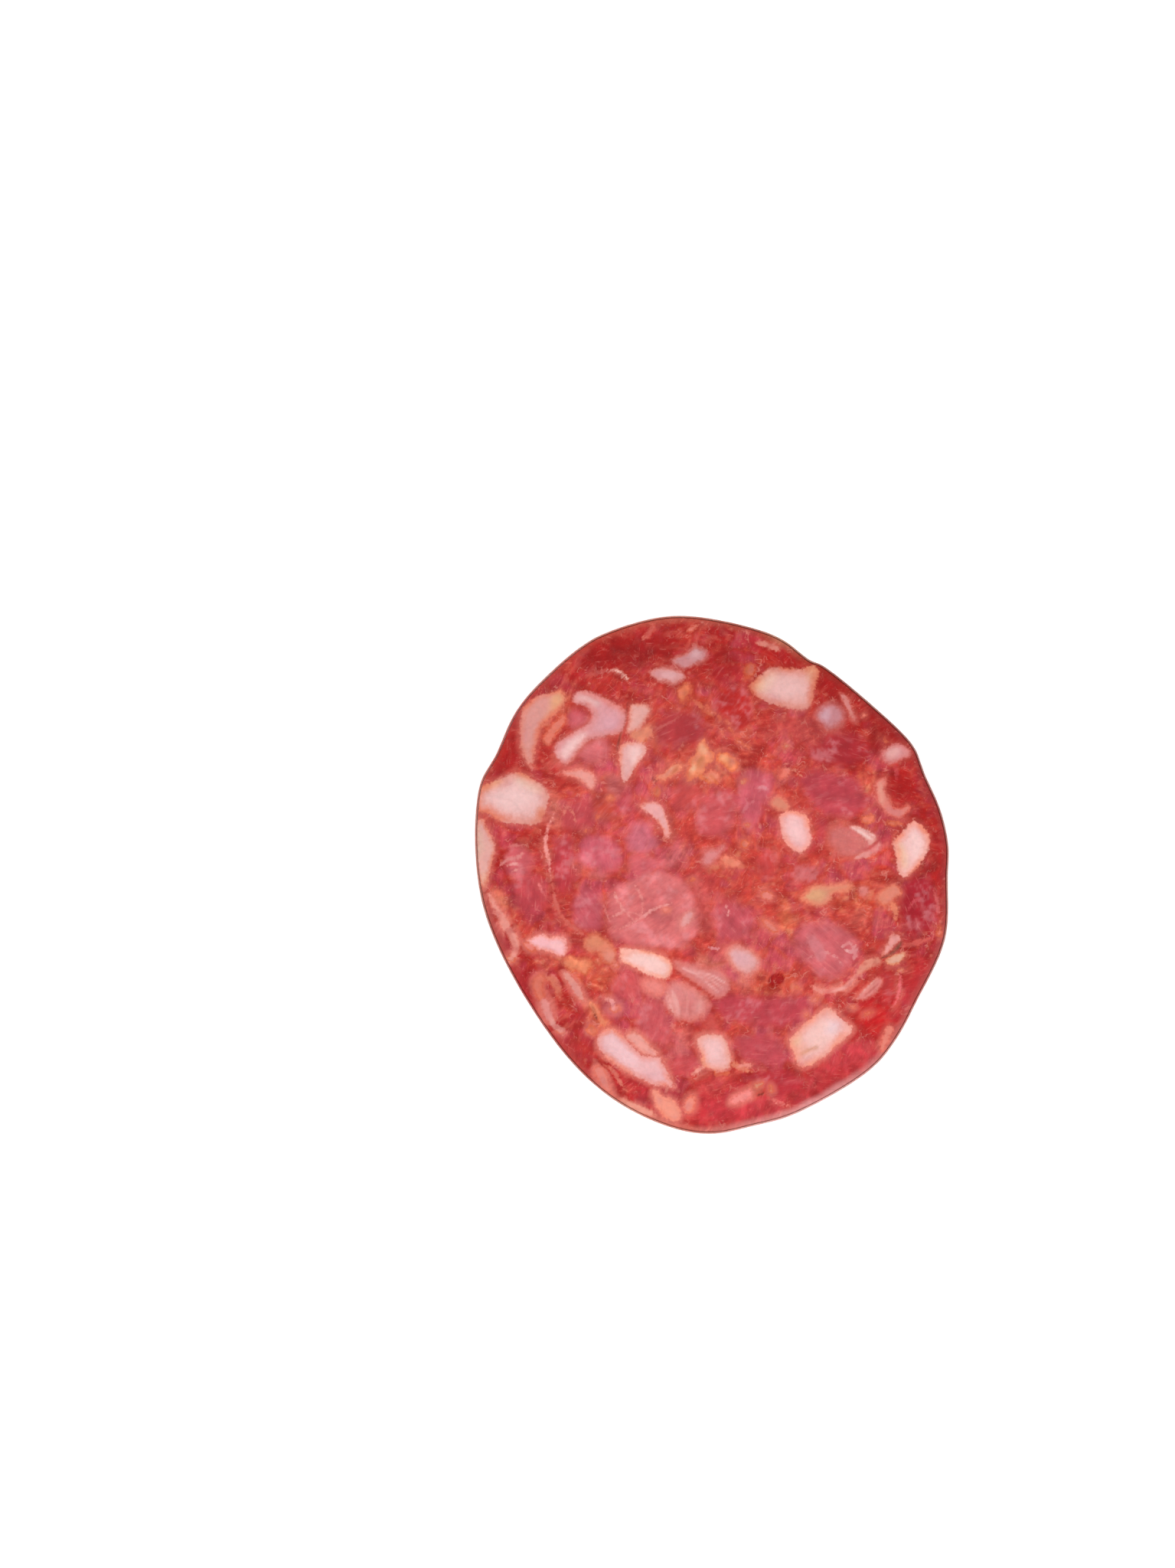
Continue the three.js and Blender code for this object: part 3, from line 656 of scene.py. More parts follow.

# Sinew, fascia and smeared fat, and one dark line of painted shadow: colour, width in mm, how
# opaque it is, line
STRANDS = [
    ("#E8968A", 1.1, 0.95, [(-27.7, -2.4), (-26.5, -4.7), (-25.5, -6.5), (-24.6, -8),
                            (-24.4, -9.6), (-25.2, -10.8)]),
    ("#C8605A", 0.6, 0.6, [(-15.6, 24.7), (-14.2, 25.1), (-12.4, 25.3), (-11.2, 24.8)]),
    ("#F4BCB2", 0.42, 0.95, [(-13, 25.3), (-12.4, 25.4), (-11.4, 25.1), (-10.4, 24.3)]),
    # Painted shadow: a dark line along the paste just below the pale strand above it
    ("#962E2A", 0.35, 0.6, [(-14.4, 24.4), (-12.8, 24.7), (-11.4, 24.3), (-10.4, 23.6)]),
    ("#BC4A48", 0.35, 0.5, [(-12.6, 27.6), (-13.8, 28.2), (-15, 27.6)]),
    ("#CC5054", 0.45, 0.5, [(22.6, 13.8), (22.9, 12.7), (22.8, 11.6)]),
    ("#C8444A", 0.35, 0.45, [(24.8, 14.2), (25, 12.6), (25.3, 11.2)]),
    ("#DE8E80", 0.8, 0.8, [(5.6, 28.9), (7, 28.5), (8.4, 27.9)]),
    ("#E2907C", 0.35, 0.55, [(9.2, 13.4), (10.4, 12.9), (11.2, 12.2)]),
    ("#CC6C68", 0.35, 0.6, [(-7.9, 17.7), (-5.4, 18.8), (-3.2, 20.2)]),
    ("#E88E84", 0.75, 0.95, [(12, -13.7), (13.2, -14.3), (14.6, -14.4), (16.2, -14.1),
                             (17.3, -13.3), (18.4, -11.9), (19.2, -11.3)]),
    ("#E0917E", 1.1, 0.9, [(18.2, -12.2), (19, -11.3), (20, -10.9), (20.9, -10.7)]),
    ("#F0A79E", 0.4, 0.8, [(15, -14.5), (16.4, -14), (17.4, -13)]),
    ("#EC7478", 0.5, 0.95, [(23.4, -11.8), (23.4, -13.2), (23.2, -14.6), (22.8, -15.8),
                            (22.3, -16.5)]),
    ("#EE9A94", 0.48, 0.95, [(-19.6, 7.6), (-20.4, 5.6), (-20.7, 4.1), (-20.4, 2.4),
                             (-19.9, -0.7)]),
    ("#D26A60", 0.4, 0.85, [(-19.9, -0.5), (-19.4, -3.4), (-18.5, -5.3), (-16.5, -7),
                            (-15.1, -7.9)]),
    ("#EA8684", 0.35, 0.85, [(-17.3, 1.3), (-16.9, 0.1)]),
    ("#E88080", 0.35, 0.85, [(-21.5, -1.2), (-20.8, -2.5)]),
    ("#DC8480", 0.3, 0.7, [(-13.4, -3.8), (-12.7, -5.8)]),
    ("#D87C70", 0.35, 0.8, [(-18.4, 7.4), (-18, 8.4), (-17.2, 7.6), (-17, 6.3)]),
    ("#E08884", 0.3, 0.8, [(-25.6, 3.4), (-24.6, 3.7), (-23.5, 3.5)]),
    ("#DC8C8A", 0.5, 0.8, [(-26.3, 1.2), (-25.4, 1.8), (-24.2, 2.1), (-23.4, 2.7)]),
    ("#E8A4A0", 0.35, 0.8, [(-25.3, 1.2), (-24.2, 1.4)]),
    ("#E49A96", 0.35, 0.8, [(-24.9, 0.3), (-23.9, 0.8)]),
    ("#E49AA0", 0.3, 0.7, [(-0.4, -9), (0.8, -9.2)]),
    ("#DA949A", 1.5, 0.4, [(12, -7.6), (13.2, -9.2), (13.6, -10.6)]),
    ("#E8B0B0", 0.4, 0.8, [(17.8, -8.8), (17.3, -9.6), (16.4, -9.2)]),
    ("#E4A8A8", 0.35, 0.7, [(18, -9.2), (17.6, -10.5)]),
    ("#F2B4AE", 0.6, 0.7, [(-4.9, -14.4), (-4.4, -16), (-4.1, -17.4)]),
    ("#EDA8A0", 0.4, 0.7, [(-1.2, -15), (-1.6, -16.6)]),
    ("#C8706A", 0.4, 0.6, [(-3.5, -14.3), (-2.9, -16), (-2.6, -17.6)]),
    ("#EBB0A8", 0.25, 0.8, [(18.3, -15), (19.4, -13.9), (20.3, -13)]),
    ("#B85850", 0.22, 0.7, [(18.9, -15.1), (19.9, -14.2), (20.7, -13.5)]),
    ("#EBA29E", 0.28, 0.75, [(-12.2, -2), (-11.2, -4), (-9.8, -5.6)]),
    ("#EBA29E", 0.28, 0.75, [(-11.6, -6.8), (-9.5, -5.8), (-7, -4.2), (-5, -3.6)]),
    ("#E89C98", 0.25, 0.6, [(-9.6, -1.2), (-8.6, -3.2), (-8.8, -5.2)]),
    ("#E89C98", 0.22, 0.6, [(-12.4, -5.2), (-10.4, -4.6), (-8.2, -5.4)]),
    ("#EAA8A8", 0.3, 0.8, [(1.7, -3.8), (2.1, -4.6), (1.9, -5.4)]),
    ("#D8868E", 0.3, 0.45, [(3.6, 7.4), (4.4, 8.6), (4.2, 9.8)]),
    ("#D8868E", 0.25, 0.4, [(4.4, 8.6), (5.4, 9.3)]),
    ("#DC98A0", 0.25, 0.6, [(5.2, 10.6), (6.1, 10.9), (6.9, 10.6)]),
    ("#E4A4A4", 0.35, 0.7, [(16, -9), (17.3, -8.6), (17.8, -10.2)]),
    ("#E09A9C", 0.28, 0.6, [(12, -10.4), (13.6, -9.6), (15.2, -10), (16.2, -11.2)]),
    ("#E69A94", 0.9, 0.85, [(17.8, 2.1), (19, 2.5), (20.2, 3.1), (21, 3.9)]),
    ("#B85850", 0.3, 0.6, [(18.8, 3.1), (19.6, 3.3), (20.6, 4.2)]),
    ("#E08468", 0.5, 0.8, [(22.3, -3.4), (22.8, -4.6), (22.8, -5.6)]),
    ("#D8645C", 0.7, 0.8, [(23.8, -8.8), (25.2, -8.5), (27, -7.9)]),
    ("#E88A70", 0.5, 0.8, [(2.3, -23.4), (3.4, -23.9), (5, -24.5)]),
    ("#F0968A", 0.4, 0.85, [(3.2, -23.9), (4.2, -23.6), (5, -23.7)]),
    ("#EE9C90", 0.5, 0.9, [(-0.9, -23.7), (-1.6, -24.2), (-2.4, -24.8)]),
    ("#DC6E50", 0.45, 0.7, [(0, -24.6), (1, -24.8), (2, -24.5)]),
    ("#F08A84", 0.5, 0.85, [(7.4, -27.9), (8.4, -28.4), (9.4, -28.6)]),
    ("#E07A6E", 0.5, 0.8, [(-7.2, 31), (-7.8, 29.9), (-8.6, 29.2)]),
    ("#E88A6A", 0.5, 0.9, [(-15, -16), (-14.2, -17.2), (-13.3, -18.8)]),
    ("#DE8070", 0.4, 0.8, [(-13.8, -23.4), (-12.4, -24.2), (-11.5, -25.6), (-10.5, -27)]),
    ("#EE9C98", 0.5, 0.9, [(-13.2, -15.4), (-12.4, -15.8), (-12.2, -16.9)]),
    ("#DC7C74", 0.6, 0.8, [(-19.9, -12.5), (-19.2, -13.2), (-18.8, -14.2)]),
    ("#B8544E", 0.3, 0.5, [(-4.6, -11.9), (-3, -13.1), (-1.3, -14.2), (0.2, -15.1)]),
    ("#F4B8B4", 0.35, 0.8, [(-3.6, -11.6), (-1.4, -12.7), (0.7, -14.5)]),
    ("#F0B2AE", 0.3, 0.7, [(-3.4, -11.4), (-0.8, -12.5), (1.3, -14.1)]),
    ("#F6BEBA", 0.35, 0.8, [(-1.6, -12), (0.2, -12.7), (1.6, -13.4)]),
    ("#CC7470", 0.25, 0.6, [(-2.2, -12.5), (-0.4, -13.3), (0.9, -14.2)]),
    ("#CC7470", 0.25, 0.6, [(-1.4, -12.1), (0.4, -13), (1.5, -13.8)]),
    ("#F8CEC8", 0.4, 0.9, [(17.2, 5.9), (18.6, 5.2), (19.8, 4.4)]),
    ("#F6C8C2", 0.3, 0.8, [(17.8, 6), (19.2, 5.4), (20.3, 4.7)]),
    ("#D88880", 0.25, 0.6, [(17.4, 5.6), (18.6, 4.8), (19.2, 3.9)]),
    ("#D87862", 0.9, 0.85, [(-20.6, -12.7), (-19.7, -13.1), (-19.1, -14.2), (-19, -15)]),
    ("#E29A92", 0.8, 0.9, [(-20, -17.9), (-19.5, -18.8), (-18.4, -19.4)]),
    ("#EC9E8C", 1, 0.9, [(-11.4, -27.9), (-10.2, -28.6), (-8.6, -29.3), (-7.2, -29.8)]),
    ("#D8606A", 0.35, 0.5, [(24.4, -4.4), (25.2, -3.2), (26.2, -2.8), (26.8, -1.6)]),
    ("#E4787A", 0.4, 0.55, [(27.6, -2), (28, -3.4), (28.1, -4.8)]),
    ("#E2928A", 0.4, 0.7, [(19.2, -14.4), (20, -13.6), (20.7, -12.9)]),
    ("#F2B0AA", 0.45, 0.8, [(-5.6, -14.6), (-5.2, -16), (-4.6, -17.4)]),
    ("#EAA09C", 0.3, 0.6, [(-3.6, -14), (-3, -15.6), (-3.2, -17.4)]),
    ("#DC7E70", 0.35, 0.7, [(-6, 4.8), (-5.7, 4)]),
    ("#D8785C", 0.4, 0.6, [(-2.6, 22), (-1.2, 20.8), (0.4, 19.4)]),
    ("#DC7850", 0.4, 0.7, [(-1.9, 12.6), (-1, 12), (-0.2, 11.4)]),
    ("#DC7850", 0.35, 0.7, [(-0.3, 12.4), (0.2, 11.9), (0.7, 11.2)]),
]

# Gaps and pits, where the paste shrank away, each dented and painted dark as the shade inside it:
# colour, width and depth in mm, line
GAPS_WITH_PAINTED_SHADE = [
    ("#7E4A3C", 0.45, 0.30, [(21.2, -10.3), (22.3, -9.8), (23, -9.1), (23.5, -8.4)]),
    ("#A5261E", 1.5, 0.30, [(7.5, -13.2), (8, -13), (8.5, -12.9)]),
    ("#7C3A30", 0.28, 0.15, [(-14.9, -16.2), (-14.6, -17), (-14.3, -17.8)]),
    ("#7A3630", 0.35, 0.15, [(-7.4, 11.9), (-7, 11.7), (-6.8, 12)]),
    ("#8A3A30", 0.35, 0.15, [(5.7, -27.3), (6.1, -27.3), (6.4, -27.2)]),
    ("#8A3A30", 0.28, 0.12, [(-10.5, 21.2), (-10.7, 19.4), (-11.3, 17.6), (-11.8, 15.4)]),
    ("#A05048", 0.28, 0.10, [(-10.9, -20.4), (-9.8, -21.4), (-8.4, -22.3), (-6.6, -22.7)]),
]

# ---- shape ----
# Two round faces, each a grid square bent to the outline, joined by a rounded edge

bm = bmesh.new()
bmesh.ops.create_grid(
    bm, x_segments=TOP_STEPS, y_segments=TOP_STEPS, size=1, matrix=Matrix.Translation((0, 0, 1))
)
under = bmesh.ops.create_grid(bm, x_segments=UNDER_STEPS, y_segments=UNDER_STEPS, size=1)
under_faces = {face for vertex in under["verts"] for face in vertex.link_faces}
bmesh.ops.reverse_faces(bm, faces=list(under_faces))
under_rim = [edge for edge in bm.edges if edge.is_boundary and edge.verts[0].co.z < 0.5]
bmesh.ops.subdivide_edges(bm, edges=under_rim, cuts=1)
bmesh.ops.bridge_loops(bm, edges=[edge for edge in bm.edges if edge.is_boundary])
slice_mesh = bpy.data.meshes.new("cured_round")
bm.to_mesh(slice_mesh)
bm.free()

square = np.empty(len(slice_mesh.vertices) * 3)
slice_mesh.vertices.foreach_get("co", square)
square = square.reshape(-1, 3)
u, v, level = square.T
out = np.maximum(np.abs(u), np.abs(v))
sideways = np.abs(u) >= np.abs(v)
turn = np.where(
    sideways,
    np.where(u >= 0, 0, math.pi) + math.pi / 4 * v / np.where(sideways & (u != 0), u, 1),
    np.where(v >= 0, 0.5, 1.5) * math.pi - math.pi / 4 * u / np.where(v == 0, 1, v),
)
# The squares nearest the rim bend over as the rounded edge, and the wall joins the two faces
edge_share = 2 / UNDER_STEPS
bend = np.clip((out - (1 - edge_share)) / edge_share, 0, 1) * math.pi / 2
flat_share = np.clip(out / (1 - edge_share), 0, 1)
wall = rim_radius(meat, turn)
radius = (wall - RIM_ROUNDING) * flat_share + RIM_ROUNDING * np.sin(bend)
drop = RIM_ROUNDING * (1 - np.cos(bend))
x = radius * np.cos(turn)
y = radius * np.sin(turn)
top = level > 0.5
inward = wall - radius

# Where each place of the slice lies in the pattern: the bits run through it on a slant
below = np.where(top, 0, thickness_mm)
# Without a seed, noise_vector would follow the clock and every run would differ a little
noise.seed_set(1)
wander = np.array([noise.noise_vector(Vector((a / 5, b / 5, c))) for a, b, c in zip(x, y, below)])
slant = np.stack([SLANT[0] * below, SLANT[1] * below], axis=1)
places = np.stack([x, y], axis=1) + slant + wander[:, :2] * below[:, None] * 0.5


def rough(size, seed, octaves=2, spots=places):
    """Smooth chance values between about -1 and 1, with lumps of the given size in mm."""
    return np.array([
        noise.fractal(Vector((a / size, b / size, seed)), 1.0, 2.0, octaves) for a, b in spots
    ])


def crumbs_of_mince(size, seed):
    """Breaks the face into crumbs of about a size in mm: a chance value for each crumb, and
    how far each place is from the seam round its crumb, in mm."""
    values, gaps = [], []
    for a, b in places:
        spot = Vector((a / size, b / size, seed))
        spot += 0.45 * noise.noise_vector(spot * 1.7)
        distances, middles = noise.voronoi(spot)
        values.append(noise.cell(middles[0] * 9.7))
        gaps.append((distances[1] - distances[0]) * size)
    return np.array(values), np.array(gaps)


# Chance patterns that the colours and the relief share, from torn outlines to fine crumbs
ragged = 0.24 * rough(1.5, 3.7) + 0.07 * rough(0.7, 8.1)
mottled = rough(3.2, 21.3, 3)
crumbly = rough(0.9, 40.7, 3)
fine = rough(0.6, 61.9, 2)

# ---- colours and the relief that goes with them ----

# A moist face mirrors this share of white light, so each colour is laid on that much darker
SHEEN = 0.018


def shade(code):
    """A hex colour as the linear colour of the meat itself, less what the moist face mirrors."""
    return np.maximum(np.array(linear(code)) - SHEEN, 0.003)


def lay(base, colour, cover):
    """Lays a colour over the ones there, covering each place by its own share."""
    return base + (shade(colour) - base) * cover[:, None]


def tone_by_direction(angles, tones):
    """Colours that run smoothly from one to the next round the slice."""
    directions = [direction for direction, colour in tones]
    colours = np.array([shade(colour) for direction, colour in tones])
    turned = np.degrees(angles) % 360
    return np.stack([np.interp(turned, directions, c, period=360) for c in colours.T], axis=1)


def turned_by(spots, degrees):
    """Places measured along and across a direction, so that patterns can run that way."""
    heading = np.radians(degrees)
    return np.stack([
        spots[:, 0] * np.cos(heading) + spots[:, 1] * np.sin(heading),
        spots[:, 1] * np.cos(heading) - spots[:, 0] * np.sin(heading),
    ], axis=1)


from_middle = np.hypot(x, y) / wall
flesh = np.tile(shade(PASTE_MIDDLE), (len(places), 1))
flesh = lay(flesh, PASTE_RIM, smooth_step(from_middle + 0.05 * mottled, 0.55, 0.98))
oily = np.zeros(len(places))
stained = np.zeros(len(places))
for colour, cover, soft, outline in ZONES:
    depth = depth_in_shape(places, outline) + 2.2 * ragged
    share = cover * smooth_step(depth, -soft, soft)
    flesh = lay(flesh, colour, share)
    red, green, blue = linear(colour)
    if red > OILY_RED and green > OILY_GREEN_TO_BLUE * blue:
        oily = np.maximum(oily, share)
    elif red < STAINED_RED or green < STAINED_GREEN_TO_BLUE * blue:
        stained = np.maximum(stained, share)

# The mince in the paste: crumbs from mauve lean to dark red, with seams of fat between them,
# then streaks along the grain of each crumb, smears of oily fat, and painted shade for pits
grain = places.copy()
for size, seed, share in ((3.4, 11.3, 0.6), (1.6, 27.9, 0.3)):
    value, gap = crumbs_of_mince(size, seed)
    body = smooth_step(gap, 0, 0.3 * size)
    lift = (1 - 0.5 * smooth_step(from_middle, 0.6, 1)) * (1 - 0.8 * stained)
    flesh = lay(flesh, "#C2566A", share * lift * body * smooth_step(value, 0.0, 0.6) * (1 - oily))
    flesh = lay(flesh, "#981F24", 0.7 * share * body * smooth_step(-value, 0.1, 0.6))
    seam = (1 - smooth_step(gap, 0.02, 0.25 * size)) * smooth_step(mottled + crumbly, -0.4, 0.8)
    flesh = lay(flesh, SEAM, (0.22 + 0.4 * oily) * lift * seam)
    if size > 2:
        grain = turned_by(places, 35 + value * 60)
streak = rough(0.8, 83.3, 3, grain * (0.4, 1))
flesh = lay(flesh, "#DE7868", 0.24 * (1 - 0.7 * stained) * smooth_step(streak, 0.05, 0.5))
flesh = lay(flesh, "#962824", 0.32 * smooth_step(-streak, 0.05, 0.5))
fatty = smooth_step(crumbly + 0.5 * fine, 0.1, 0.7)
flesh = lay(flesh, "#E0906E", (0.04 + 0.6 * oily) * (1 - stained) * fatty)
# Painted shade: soft dark patches stand in for the shade in small pits between crumbs
flesh = lay(flesh, "#7E1C1A", 0.14 * smooth_step(-fine, 0.05, 0.6))

# The cubes of lean over it, each with its fibres paler and darker along its own grain
lean = np.zeros(len(places))
for colour, direction, outline in LEAN:
    depth = depth_in_shape(places, outline) + 1.6 * ragged
    cover = smooth_step(depth, -0.6, 0.8)
    flesh = lay(flesh, colour, 0.9 * cover)
    lean = np.maximum(lean, cover)
    grain = np.where(cover[:, None] > 0.1, turned_by(places, direction), grain)
fibres = rough(0.7, 19.9, 3, grain * (0.3, 1))
flesh = lay(flesh, "#E0868A", 0.16 * lean * smooth_step(fibres, 0.05, 0.6))
flesh = lay(flesh, "#A23640", 0.18 * lean * smooth_step(-fibres, 0.05, 0.6))
flesh = lay(flesh, "#E09AA0", 0.3 * lean * smooth_step(mottled + 0.5 * fine, 0.1, 0.7))
flesh = lay(flesh, "#A83540", 0.2 * lean * smooth_step(-mottled + 0.5 * fine, 0.1, 0.7))
flesh *= 1.02 + (0.14 * mottled + 0.2 * rough(1.5, 97.1, 3))[:, None]

# The outermost millimetre has dried to the colour of the casing over it
edge_tone = tone_by_direction(turn, EDGE_TONES)
dried = 0.75 * smooth_step(-inward + 0.5 * ragged, -1.0, -0.1)[:, None]
flesh += (edge_tone - flesh) * dried

# Crumbs of paste stand up by hundredths of a millimetre, lean lies lower and gaps are dents
relief = 0.035 * crumbly * (1 - lean) - 0.02 * lean + 0.03 * mottled
for colour, width, deep, line in GAPS_WITH_PAINTED_SHADE:
    cover = smooth_step(depth_in_strand(places, line, width) + 0.3 * ragged, -0.12, 0.12)
    # Painted shade: the gap's dark colour stands in for the shade inside it; the dent below is real
    # relief
    flesh = lay(flesh, colour, cover)
    relief -= deep * cover

# For each place, the pale piece it lies deepest in: how deep, in mm, and what that piece is
pale_depth = np.full(len(places), -3.0)
pale_soft = np.full(len(places), 0.15)
pale_cover = np.ones(len(places))
pale_colour = np.tile(shade("#EDC1C1"), (len(places), 1))
pale_edge = np.tile(shade("#E58C68"), (len(places), 1))
stands_up = np.zeros(len(places))
pale_rim = np.full(len(places), 0.9)


def set_in(depth, colour, edge, soft, cover, height, rim):
    """Sets a pale piece into the face wherever it reaches further in than those before it."""
    here = depth / soft > pale_depth / pale_soft
    pale_depth[here] = depth[here]
    pale_soft[here] = soft
    pale_cover[here] = cover
    pale_colour[here] = shade(colour)
    pale_edge[here] = shade(edge)
    stands_up[here] = height
    pale_rim[here] = rim


for colour, width, cover, line in STRANDS:
    depth = depth_in_strand(places, line, width + 0.12)
    set_in(depth, colour, colour, 0.1 + 0.12 * width, cover, 0.02, 0.2)
pale_cover *= np.clip(1 + 1.0 * rough(1.2, 55.5), 0.6, 1)
for colour, crumbs in CRUMBS:
    for crumb in crumbs:
        set_in(depth_in_shape(places, oval(*crumb)), colour, "#D86C48", 0.22, 0.9, 0.03, 0.3)
for colour, edge, soft, cover, height, outline in PALE:
    depth = depth_in_shape(places, outline)
    set_in(depth, colour, edge, 1.5 * soft, cover, height, 0.55 * depth.max())

# Torn edges, crumbly curds of stained fat, and each piece's own drift in colour and sharpness
pale_depth += 0.5 * ragged - 0.05
curdled = smooth_step(pale_colour[:, 1] / pale_colour[:, 2], 1.5, 1.8)
pale_depth += 0.24 * curdled * crumbly
pale_colour *= (0.97, 0.93, 0.93)
pale_colour *= 1 + 0.35 * (curdled * crumbly)[:, None]
pale_edge *= (1.02, 0.86, 0.77)
drift = rough(2.2, 77.1)
pale_soft *= 1.5 ** np.clip(2.2 * drift, -1.2, 1.2)
pale_colour *= 1 - 0.07 * smooth_step(mottled - 0.4 * pale_depth, -0.4, 0.6)[:, None]
pale_colour = lay(pale_colour, "#C98088", 0.35 * smooth_step(-drift, 0.0, 0.8) * (pale_depth < 1.2))
for colour, cover, soft, outline in FAT_TINTS:
    share = cover * smooth_step(depth_in_shape(places, outline) + ragged, -soft, soft)
    pale_colour = lay(pale_colour, colour, share)
for colour, width, cover, line in STRANDS:
    share = cover * smooth_step(depth_in_strand(places, line, width), -0.12, 0.12)
    pale_colour = lay(pale_colour, colour, share)

# Oil stained with paprika gathers round each piece of fat, most towards the bottom of the
# slice; at its top and right side, where it dried first, more of a dark seam runs there
ring = smooth_step(pale_depth, -0.85, -0.05) * smooth_step(pale_cover, 0.8, 0.95)
oiled = 0.5 * smooth_step(-y, -23, -19) + 0.5 * smooth_step(-y, -3, 8)
oiled *= 1 - 0.6 * smooth_step(x, 18, 22)
flesh = lay(flesh, "#A0342C", 0.4 * (1 - oiled) * ring)
flesh = lay(flesh, "#E07C70", 0.7 * oiled * ring)
rimmed = smooth_step(rough(3.0, 91.7) + 0.2 * mottled, -0.35, 0.35)
relief += stands_up * smooth_step(pale_depth, 0, 0.7)
relief -= 0.04 * (1 - np.abs(smooth_step(pale_depth, -0.5, 0.5) * 2 - 1)) * (pale_cover > 0.9)
relief *= smooth_step(inward, 0.0, 0.6)

lower = meat_low.z / MM
z = np.where(top, lower + thickness_mm - drop + relief, lower + drop + np.maximum(relief, 0) * 0.4)
slice_mesh.vertices.foreach_set("co", (np.stack([x, y, z], axis=1) * MM).ravel())


def store(mesh, name, values):
    """Keeps one value, direction or colour for each vertex, for the material to read."""
    kinds = {1: ("FLOAT", "value"), 3: ("FLOAT_VECTOR", "vector"), 4: ("FLOAT_COLOR", "color")}
    kind, field = kinds[1 if values.ndim == 1 else values.shape[1]]
    layer = mesh.attributes.new(name, kind, "POINT")
    layer.data.foreach_set(field, np.ascontiguousarray(values, np.float32).ravel())


opaque = np.ones((len(places), 1))
store(slice_mesh, "flesh", np.hstack([np.clip(flesh, 0, 1), opaque]))
store(slice_mesh, "fatty_paste", (1 - lean) * (1 - 0.7 * stained))
store(slice_mesh, "grain", np.hstack([grain, 0 * opaque]) * MM)
store(slice_mesh, "pale_depth", pale_depth)
store(slice_mesh, "pale_soft", pale_soft)
store(slice_mesh, "pale_cover", pale_cover)
store(slice_mesh, "pale_colour", np.hstack([pale_colour, opaque]))
store(slice_mesh, "pale_edge", np.hstack([pale_edge, opaque]))
store(slice_mesh, "rimmed", rimmed)
store(slice_mesh, "pale_rim", pale_rim)
slice_mesh.shade_smooth()
slice_mesh.update()

cured_round = bpy.data.objects.new("cured_round", slice_mesh)
scene.collection.objects.link(cured_round)

# ---- material ----


def add_node(tree, kind, inputs=(), **settings):
    """Adds a node with its settings, and sets or links each of its given inputs."""
    node = tree.nodes.new("ShaderNode" + kind)
    for name, value in settings.items():
        setattr(node, name, value)
    for socket, value in dict(inputs).items():
        if isinstance(value, bpy.types.NodeSocket):
            tree.links.new(value, node.inputs[socket])
        else:
            node.inputs[socket].default_value = value
    return node


def new_material(name):
    material = bpy.data.materials.new(name)
    material.use_nodes = True
    material.node_tree.nodes.clear()
    return material, material.node_tree


# A Mix node's sockets go by number: its factor, its two colours and the mixed colour
FACTOR, FIRST, SECOND, MIXED = 0, 6, 7, 2


def full(code):
    return (*linear(code), 1)


def strewn(tree, tone, colour, pattern, start, most_at, most, limits=()):
    """Strews a colour over the ones there: none where the pattern is at its start, the most
    of it at most_at, and less wherever one of the limits is low."""
    share = add_node(tree, "MapRange", {
        "Value": pattern, "From Min": start, "From Max": most_at, "To Max": most,
    }).outputs["Result"]
    for limit in limits:
        share = add_node(tree, "Math", {0: share, 1: limit}, operation="MULTIPLY").outputs[0]
    return add_node(tree, "Mix", {
        FACTOR: share, FIRST: tone, SECOND: full(colour),
    }, data_type="RGBA").outputs[MIXED]


cured_meat, tree = new_material("cured_pork_cut_face")
place = add_node(tree, "TexCoord").outputs["Object"]
flesh_colour, fat_colour, fat_edge = (
    add_node(tree, "Attribute", attribute_name=name).outputs["Color"]
    for name in ("flesh", "pale_colour", "pale_edge")
)
paste_share, depth_mm, soft_mm, opacity, has_rim, rim_mm = (
    add_node(tree, "Attribute", attribute_name=name).outputs["Fac"]
    for name in ("fatty_paste", "pale_depth", "pale_soft", "pale_cover", "rimmed", "pale_rim")
)
grain_place = add_node(tree, "Attribute", attribute_name="grain").outputs["Vector"]

# Chance patterns, each sized by the grain it stands for: mince crumbs 0.5 mm, specks 0.25 mm
crumb, speck = (
    add_node(tree, "TexNoise", {
        "Vector": place, "Scale": 1 / (size * MM), "Detail": detail,
    }).outputs["Fac"]
    for size, detail in ((0.5, 3), (0.25, 2))
)

# Pale specks of fat in the paste, and dark ones of paprika and pepper all over
tone = strewn(tree, flesh_colour, "#E68466", speck, 0.60, 0.74, 0.2, [paste_share])
tone = strewn(tree, tone, "#A42A26", crumb, 0.46, 0.30, 0.12)

# Muscle fibres, 0.28 mm across and 1.6 mm long, over a grit of mince crumbs
stretched = add_node(tree, "VectorMath", {
    0: grain_place, 1: (1 / (1.6 * MM), 1 / (0.28 * MM), 1.0),
}, operation="MULTIPLY").outputs["Vector"]
fibre = add_node(tree, "TexNoise", {
    "Vector": stretched, "Scale": 1.0, "Detail": 3, "Distortion": 0.5,
}).outputs["Fac"]
fibre_tone = add_node(tree, "MapRange", {
    "Value": fibre, "From Min": 0.3, "From Max": 0.7, "To Min": 0.91, "To Max": 1.10,
}).outputs["Result"]
grit_tone = add_node(tree, "MapRange", {
    "Value": crumb, "From Min": 0.3, "From Max": 0.7, "To Min": 0.95, "To Max": 1.06,
}).outputs["Result"]
light_and_dark = add_node(tree, "Math", {
    0: fibre_tone, 1: grit_tone,
}, operation="MULTIPLY").outputs[0]
coarseness = add_node(tree, "MapRange", {"Value": paste_share, "To Min": 0.4}).outputs["Result"]
tone = add_node(tree, "Mix", {
    FACTOR: coarseness, FIRST: tone, SECOND: light_and_dark,
}, data_type="RGBA", blend_type="MULTIPLY").outputs[MIXED]
tone = strewn(tree, tone, "#E48C80", fibre, 0.60, 0.76, 0.26)

